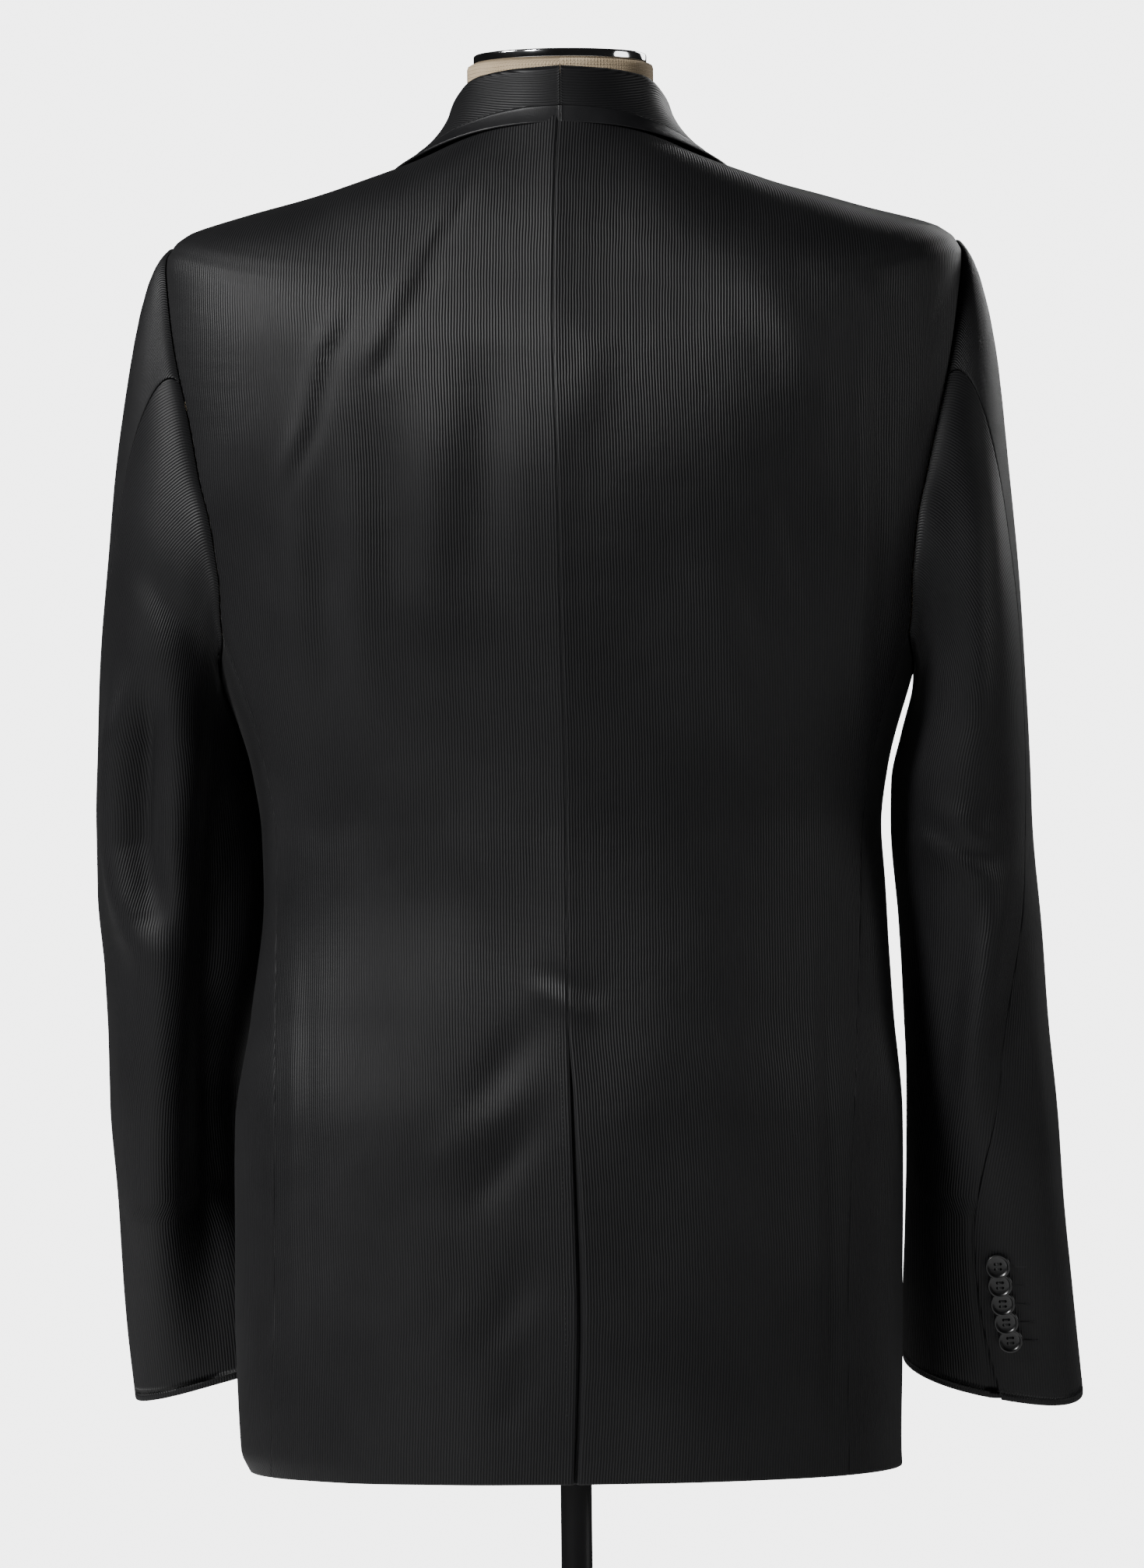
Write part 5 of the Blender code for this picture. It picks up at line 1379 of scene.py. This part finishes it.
def add_thread(whole, hole, spacing):
    """Two bars of thread from hole to hole, which go down through them."""
    path = [(spacing * out, height) for out, height in THREAD_PATH]
    apart = hole * THREAD_APART
    for y in (-spacing - apart, -spacing + apart, spacing - apart, spacing + apart):
        rows = []
        for i, (x, height) in enumerate(path):
            before, after = path[max(i - 1, 0)], path[min(i + 1, len(path) - 1)]
            lean = math.atan2((after[1] - before[1]) * BUTTON_THICK, after[0] - before[0])
            row = []
            for turn in np.linspace(0, 2 * np.pi, THREAD_SIDES + 1)[:-1]:
                out = hole * THREAD_THICK * math.cos(turn)
                place = (x - out * math.sin(lean), y + hole * THREAD_THICK * math.sin(turn))
                row.append(whole.verts.new((*place, height * BUTTON_THICK + out * math.cos(lean))))
            rows.append(row)
        for low, high in zip(rows, rows[1:]):
            for i in range(THREAD_SIDES):
                j = (i + 1) % THREAD_SIDES
                whole.faces.new((low[i], high[i], high[j], low[j])).material_index = 1
        whole.faces.new(rows[0]).material_index = 1
        whole.faces.new(rows[-1][::-1]).material_index = 1


cuff_button, front_button = make_button(CUFF_BUTTON), make_button(FRONT_BUTTON)
print("faces of a button:", len(cuff_button.polygons))

# %% [markdown]
# Five buttons overlap down each cuff like roof tiles, each lower one lying over the one above it, so all of
# them lean by the same angle. The fastened front button stays where it is, at the crossing of the fronts.

# %% The buttons in their places
CUFF_PITCH, CUFF_TILT, CUFF_BUTTONS = 0.0109, math.radians(14.5), 5
LOWEST_BUTTON, BUTTON_TURN, BUTTON_CLEAR, STEM_SHARE = 0.784, -13.0, 0.0004, 0.9
FRONT_BUTTON_RUN, FRONT_BUTTON_LIFT, FRONT_STEM = BUTTON_RUN - 0.012, 0.0012, 0.0011
STEM_RADIUS, STEM_WAVE, STEM_SIDES, STEM_RINGS, STEM_SINK = 0.0010, 0.00012, 12, 5, 0.0004


def place_button(name, template, place, axis, top, lift):
    """A copy of a button: its Z axis goes to axis, and its Y axis points to top as nearly as it can."""
    across = unit(np.cross(top, axis))
    turn = np.stack([across, np.cross(axis, across), axis], axis=1)
    mesh = template.copy()
    mesh.name = name
    points = np.empty(len(mesh.vertices) * 3)
    mesh.vertices.foreach_get("co", points)
    mesh.vertices.foreach_set("co", (points.reshape(-1, 3) @ turn.T + place).ravel())
    mesh.update()
    piece = link(name + "_turned", mesh)
    stem_points = np.array([(0, 0, -lift), (0, 0, STEM_SINK)]) @ turn.T + place
    add_stem(name + "_stem", stem_points)
    hand_over(piece, name)


def add_stem(name, ends):
    """The wound thread under a button."""
    axis = unit(ends[1] - ends[0])
    helper = np.array([1.0, 0, 0]) if abs(axis[0]) < 0.8 else np.array([0, 1.0, 0])
    across = unit(np.cross(axis, helper))
    other = np.cross(axis, across)
    points = []
    for share in np.linspace(0, 1, STEM_RINGS):
        radius = STEM_RADIUS + STEM_WAVE * math.cos(8 * math.pi * share)
        for turn in 2 * np.pi * np.arange(STEM_SIDES) / STEM_SIDES:
            out = across * math.cos(turn) + other * math.sin(turn)
            points.append(ends[0] + (ends[1] - ends[0]) * share + radius * out)
    faces = []
    last = STEM_SIDES * (STEM_RINGS - 1)
    for low in range(0, last, STEM_SIDES):
        for i in range(STEM_SIDES):
            j = (i + 1) % STEM_SIDES
            faces.append((low + i, low + j, low + STEM_SIDES + j, low + STEM_SIDES + i))
    faces += [tuple(range(STEM_SIDES - 1, -1, -1)), tuple(range(last, last + STEM_SIDES))]
    stem = add_object(name, points, faces, [0] * len(faces), (THREAD,))
    hand_over(stem)


def cuff_place(side, i):
    """Where on the sleeve a cuff button sits: down the arm and round it."""
    z = LOWEST_BUTTON + (CUFF_BUTTONS - 1 - i) * CUFF_PITCH
    down = 1 + (SLEEVE_TOP - z) / (SLEEVE_TOP - SLEEVE[side]["z"][0])
    return down, float(read(SLEEVE_SEAM[side], down)["behind"]) + BUTTON_TURN


for side in (LEFT, RIGHT):
    for i in range(CUFF_BUTTONS):
        point, normal, fall = sleeve_frame(side, *cuff_place(side, i))
        axis = normal * math.cos(CUFF_TILT) - fall * math.sin(CUFF_TILT)
        height = CUFF_BUTTON / 2 * math.sin(CUFF_TILT) + BUTTON_CLEAR
        name, place = f"cuff_button_{NAMES[side]}_{i + 1}", point + normal * height
        place_button(name, cuff_button, place, axis, -fall, height * STEM_SHARE)
button_around = around_at(LEFT, FRONT_BUTTON_RUN, 0.0, front=True)
normal = body_normal(LEFT, button_around, FRONT_BUTTON_RUN)
place = cloth(LEFT, button_around, FRONT_BUTTON_RUN) + normal * FRONT_BUTTON_LIFT
place_button("front_button", front_button, place, normal, np.array([0, 0, 1.0]), FRONT_STEM)
print("buttons:", 2 * CUFF_BUTTONS + 1)

# %% [markdown]
# Buttonholes and pick stitches are rows of small thread marks. A path on the cloth carries them: Geometry
# Nodes cut the path into even steps, set one stitch on each, and turn it along the path and away from the
# cloth. One tree serves both, with its own spacing and stitch size for each, and the result is made plain.

# %% The stitching tree
BUTTONHOLE, HOLE_GAP, STITCH_LIFT, HOLE_POINTS, PICK_POINTS = 0.0100, 0.0020, 0.0001, 9, 60


def make_stitch_tree():
    tree = bpy.data.node_groups.new("stitches", "GeometryNodeTree")
    tree.interface.new_socket("Geometry", in_out="INPUT", socket_type="NodeSocketGeometry")
    for title in ("Spacing", "Along", "Across", "Height"):
        tree.interface.new_socket(title, in_out="INPUT", socket_type="NodeSocketFloat")
    tree.interface.new_socket("Thread", in_out="INPUT", socket_type="NodeSocketMaterial")
    tree.interface.new_socket("Geometry", in_out="OUTPUT", socket_type="NodeSocketGeometry")
    nodes, links = tree.nodes, tree.links
    given, result = nodes.new("NodeGroupInput"), nodes.new("NodeGroupOutput")
    path = nodes.new("GeometryNodeMeshToCurve")
    even = nodes.new("GeometryNodeResampleCurve")
    even.mode = "LENGTH"
    away = nodes.new("GeometryNodeInputNamedAttribute")
    away.data_type = "FLOAT_VECTOR"
    away.inputs["Name"].default_value = "away"
    tangent = nodes.new("GeometryNodeInputTangent")
    turn = nodes.new("FunctionNodeAxesToRotation")
    turn.primary_axis, turn.secondary_axis = "Z", "X"
    ball = nodes.new("GeometryNodeMeshIcoSphere")
    ball.inputs["Radius"].default_value = 0.5
    ball.inputs["Subdivisions"].default_value = 2
    size = nodes.new("ShaderNodeCombineXYZ")
    put = nodes.new("GeometryNodeInstanceOnPoints")
    real = nodes.new("GeometryNodeRealizeInstances")
    shade = nodes.new("GeometryNodeSetShadeSmooth")
    dress = nodes.new("GeometryNodeSetMaterial")
    for source, output, target, socket in (
        (given, "Geometry", path, "Mesh"),
        (path, "Curve", even, "Curve"),
        (given, "Spacing", even, "Length"),
        (even, "Curve", put, "Points"),
        (ball, "Mesh", put, "Instance"),
        (away, "Attribute", turn, "Primary Axis"),
        (tangent, "Tangent", turn, "Secondary Axis"),
        (turn, "Rotation", put, "Rotation"),
        (given, "Along", size, "X"),
        (given, "Across", size, "Y"),
        (given, "Height", size, "Z"),
        (size, "Vector", put, "Scale"),
        (put, "Instances", real, "Geometry"),
        (real, "Geometry", shade, "Geometry"),
        (shade, "Geometry", dress, "Geometry"),
        (given, "Thread", dress, "Material"),
        (dress, "Geometry", result, "Geometry"),
    ):
        tree.links.new(source.outputs[output], target.inputs[socket])
    return tree


STITCHES = make_stitch_tree()


def sew(name, paths, **values):
    """Stitches along paths of (points, away directions), made a plain mesh that rides on the jacket."""
    points, edges, away = [], [], []
    for line, directions in paths:
        start = len(points)
        points += [tuple(map(float, point)) for point in line]
        away += [tuple(map(float, direction)) for direction in directions]
        edges += [(start + i, start + i + 1) for i in range(len(line) - 1)]
    mesh = bpy.data.meshes.new(name)
    mesh.from_pydata(points, edges, [])
    stored = mesh.attributes.new("away", "FLOAT_VECTOR", "POINT")
    stored.data.foreach_set("vector", np.array(away, dtype=np.float32).ravel())
    guide = link(name + "_guide", mesh)
    modifier = guide.modifiers.new("stitches", "NODES")
    modifier.node_group = STITCHES
    values["Thread"] = THREAD
    for item in STITCHES.interface.items_tree:
        if item.in_out == "INPUT" and item.name in values:
            modifier[item.identifier] = values[item.name]
    made = plain_mesh(guide, name)
    guide.modifiers.remove(modifier)
    bpy.data.objects.remove(guide)
    piece = link(name, made)
    hand_over(piece)
    print(name + ":", len(made.polygons), "faces")


# %% Buttonholes and pick stitches


def buttonhole_path(side, i):
    """A line on the sleeve that starts beside the button and runs away from the vent."""
    down, turn = cuff_place(side, i)
    step = 1.0
    near = sleeve_row(side, down, [turn, turn - step])
    degree = step / np.linalg.norm(near[1] - near[0])
    first = CUFF_BUTTON / 2 + HOLE_GAP
    reach = np.linspace(first, first + BUTTONHOLE, HOLE_POINTS)
    frames = [sleeve_frame(side, down, turn - degree * distance) for distance in reach]
    return [point + normal * STITCH_LIFT for point, normal, _ in frames], [normal for _, normal, _ in frames]


holes = [buttonhole_path(side, i) for side in (LEFT, RIGHT) for i in range(CUFF_BUTTONS)]
sew("cuff_buttonholes", holes, Spacing=0.00042, Along=0.00040, Across=0.0015, Height=0.0006)

PICKS = table("z x", (0.739, -0.0044), (0.8045, -0.0050), (0.85, -0.0058), (0.8945, -0.0048), (0.956, -0.0068))
pick_heights = np.linspace(PICKS["z"][0], PICKS["z"][-1], PICK_POINTS)
pick_x = smooth(PICKS["z"], PICKS["x"], pick_heights)
pick_places = [around_at(LEFT, z, -x, False) for x, z in zip(pick_x, pick_heights)]
pick_points = [cloth(LEFT, around, z) for around, z in zip(pick_places, pick_heights)]
pick_away = [body_normal(LEFT, around, z) for around, z in zip(pick_places, pick_heights)]
sew("vent_pick_stitches", [(pick_points, pick_away)], Spacing=0.0030, Along=0.0010, Across=0.0005, Height=0.0004)

# %% [markdown]
# The dress form carries the jacket at the shoulders. It is a padded torso without limbs, covered in linen,
# with a chrome cap on its neck. It follows the same rings as the jacket, set in from the cloth, so that it
# fits inside without touching except at the shoulders. Only its neck shows from behind.

# %% The linen torso
FORM_LOW, NECK_RADIUS, LINEN_TOP = 0.760, 0.0535, 1.504
FORM_COLUMNS, FORM_HEM_TURN, FORM_WALL, NECK_FOOT = 160, 0.012, 0.0020, 1.476
FORM_CLEAR, FORM_CLEAR_HIP, FORM_CLEAR_NECK, FORM_TOUCH = 0.0065, 0.006, 0.004, 0.0006
CARRY_RUN, CARRY_AROUND = (POINT + 0.01, POINT + 0.04, 1.50, 1.53), (0.34, 0.42, 0.50, 0.54)
HIP_RUN = (0.80, 1.05)
NECK_RINGS = ((0, 1.485), (0, 1.495), (0, 1.5015), (0.0006, 1.5032), (0.002, LINEN_TOP))


def form_clearance(around, run):
    """How far the torso stays from the jacket's inner face: it carries the jacket at the shoulders."""
    on_shoulder = ease(*CARRY_RUN[:2], run) * (1 - ease(*CARRY_RUN[2:], run))
    on_shoulder = on_shoulder * ease(*CARRY_AROUND[:2], around) * (1 - ease(*CARRY_AROUND[2:], around))
    away = FORM_CLEAR + FORM_CLEAR_HIP * (1 - ease(*HIP_RUN, run))
    away = away + FORM_CLEAR_NECK * ease(CARRY_RUN[2], NECK, run)
    return away * (1 - on_shoulder) + FORM_TOUCH * on_shoulder


def form_rings():
    """The torso's rings, from the hem of its cover up to the neck."""
    half = np.linspace(0, 1, FORM_COLUMNS // 2 + 1)
    rows = []
    edge = np.linspace(0, 1, 7)
    runs = [FORM_LOW + FORM_HEM_TURN * (1 - math.sqrt(1 - share**2)) for share in edge]
    insets = [FORM_HEM_TURN * (1 - share) ** 2 for share in edge]
    upper = np.concatenate([np.linspace(0.778, POINT, 110), np.linspace(POINT, NECK, 40)[1:]])
    for run, inset in [*zip(runs, insets), *[(run, 0.0) for run in upper]]:
        row = []
        for side, places in ((RIGHT, half), (LEFT, half[-2:0:-1])):
            away = FORM_WALL + form_clearance(places, run) + inset
            row.append(body(side, places, run) - body_normal(side, places, run) * away[:, None])
        rows.append(np.concatenate(row))
    last = rows[-1]
    turn = np.arctan2(last[:, 0], -last[:, 1])
    foot = np.stack([NECK_RADIUS * np.sin(turn), -NECK_RADIUS * np.cos(turn), np.full(len(turn), NECK_FOOT)], axis=1)
    for share in np.linspace(0, 1, 12)[1:]:
        rows.append(last * (1 - share) + foot * share + (foot - last) * np.array([0.5, 0.5, 0]) * share * (1 - share))
    for inset, height in NECK_RINGS:
        wide = NECK_RADIUS - inset
        rows.append(np.stack([wide * np.sin(turn), -wide * np.cos(turn), np.full(len(turn), height)], axis=1))
    return np.array(rows)


def add_tube(name, rows, materials):
    """A closed solid from rings of points, with its grain as a UV map in metres."""
    count, columns, _ = rows.shape
    closed = np.concatenate([rows, rows[:, :1]], axis=1)
    heights = np.cumsum(np.pad(np.abs(np.diff(rows[:, 0, 2])), (1, 0)))
    grain = np.stack([distances(closed, 1), np.tile(heights[:, None], columns + 1)], axis=-1)
    points = np.concatenate([closed.reshape(-1, 3), [rows[0].mean(axis=0)], [rows[-1].mean(axis=0)]])
    uv = np.concatenate([grain.reshape(-1, 2), [[0, 0]], [[0, 0]]])
    index = np.arange(count * (columns + 1)).reshape(count, columns + 1)
    quads = np.stack([index[:-1, :-1], index[:-1, 1:], index[1:, 1:], index[1:, :-1]], axis=-1).reshape(-1, 4)
    faces = quads.tolist()
    bottom, top = len(points) - 2, len(points) - 1
    faces += [(bottom, int(b), int(a)) for a, b in zip(index[0], index[0][1:])]
    faces += [(top, int(a), int(b)) for a, b in zip(index[-1], index[-1][1:])]
    made = add_object(name, points, faces, [0] * len(faces), materials, uv)
    whole = bmesh.new()
    whole.from_mesh(made.data)
    bmesh.ops.remove_doubles(whole, verts=whole.verts, dist=1e-6)
    whole.to_mesh(made.data)
    whole.free()
    return made


torso = add_tube("torso_linen", form_rings(), (LINEN,))
hand_over(torso, "form_torso")
print("torso faces:", len(torso.data.polygons))

# %% [markdown]
# The cap, the pole and the base are turned parts, so a line spun round the pole's axis makes them. Their edges
# are rounded, because a bright line along an edge is what tells the eye that metal is real.

# %% The cap, the pole and the base
CAP_RADIUS, CAP_TOP, POLE_RADIUS = 0.0497, 1.5098, 0.009
BASE_RADIUS, BASE_RIM, BASE_CROWN, BOSS_HEIGHT = 0.170, 0.006, 0.012, 0.022
CAP_EDGE, POLE_EDGE, BASE_EDGE = 0.0013, 0.0004, 0.0014
# The boss that holds the pole: radius, and height above the base's crown.
BOSS = ((0.030, 0.0), (0.021, 0.0008), (0.0172, 0.003), (0.016, 0.007), (0.016, 0.0208), (0.0156, 0.0217))


def rounded(radius, low, high, edge):
    """The side of a disc with both edges rounded, from bottom to top."""
    turns = np.linspace(0, math.pi / 2, 6)
    lower = [(radius - edge + edge * math.sin(turn), low + edge - edge * math.cos(turn)) for turn in turns]
    upper = [(radius - edge + edge * math.cos(turn), high - edge + edge * math.sin(turn)) for turn in turns]
    return lower + upper


def add_turned_piece(name, profile, sides, material, node):
    piece = link(name, turned_mesh(name, profile, sides, (material,)))
    piece.data.set_sharp_from_angle(angle=math.radians(50))
    hand_over(piece, node)


cap_low = LINEN_TOP + CLEAR
cap = [(0, cap_low), *rounded(CAP_RADIUS, cap_low, CAP_TOP, CAP_EDGE), (0, CAP_TOP)]
add_turned_piece("cap_chrome", cap, 128, CHROME, "form_neck_cap")
boss = BASE_CROWN + BOSS_HEIGHT
pole_low, pole_top = boss + CLEAR, FORM_LOW - CLEAR
pole = [(0, pole_low), *rounded(POLE_RADIUS, pole_low, pole_top, POLE_EDGE), (0, pole_top)]
add_turned_piece("pole_metal", pole, 64, BLACK_METAL, "form_pole")
base = [(0, 0), *rounded(BASE_RADIUS, 0.0, BASE_RIM, BASE_EDGE)]
base += [*[(radius, BASE_CROWN + height) for radius, height in BOSS], (0.0148, boss), (0, boss)]
add_turned_piece("base_metal", base, 160, BLACK_METAL, "form_base")
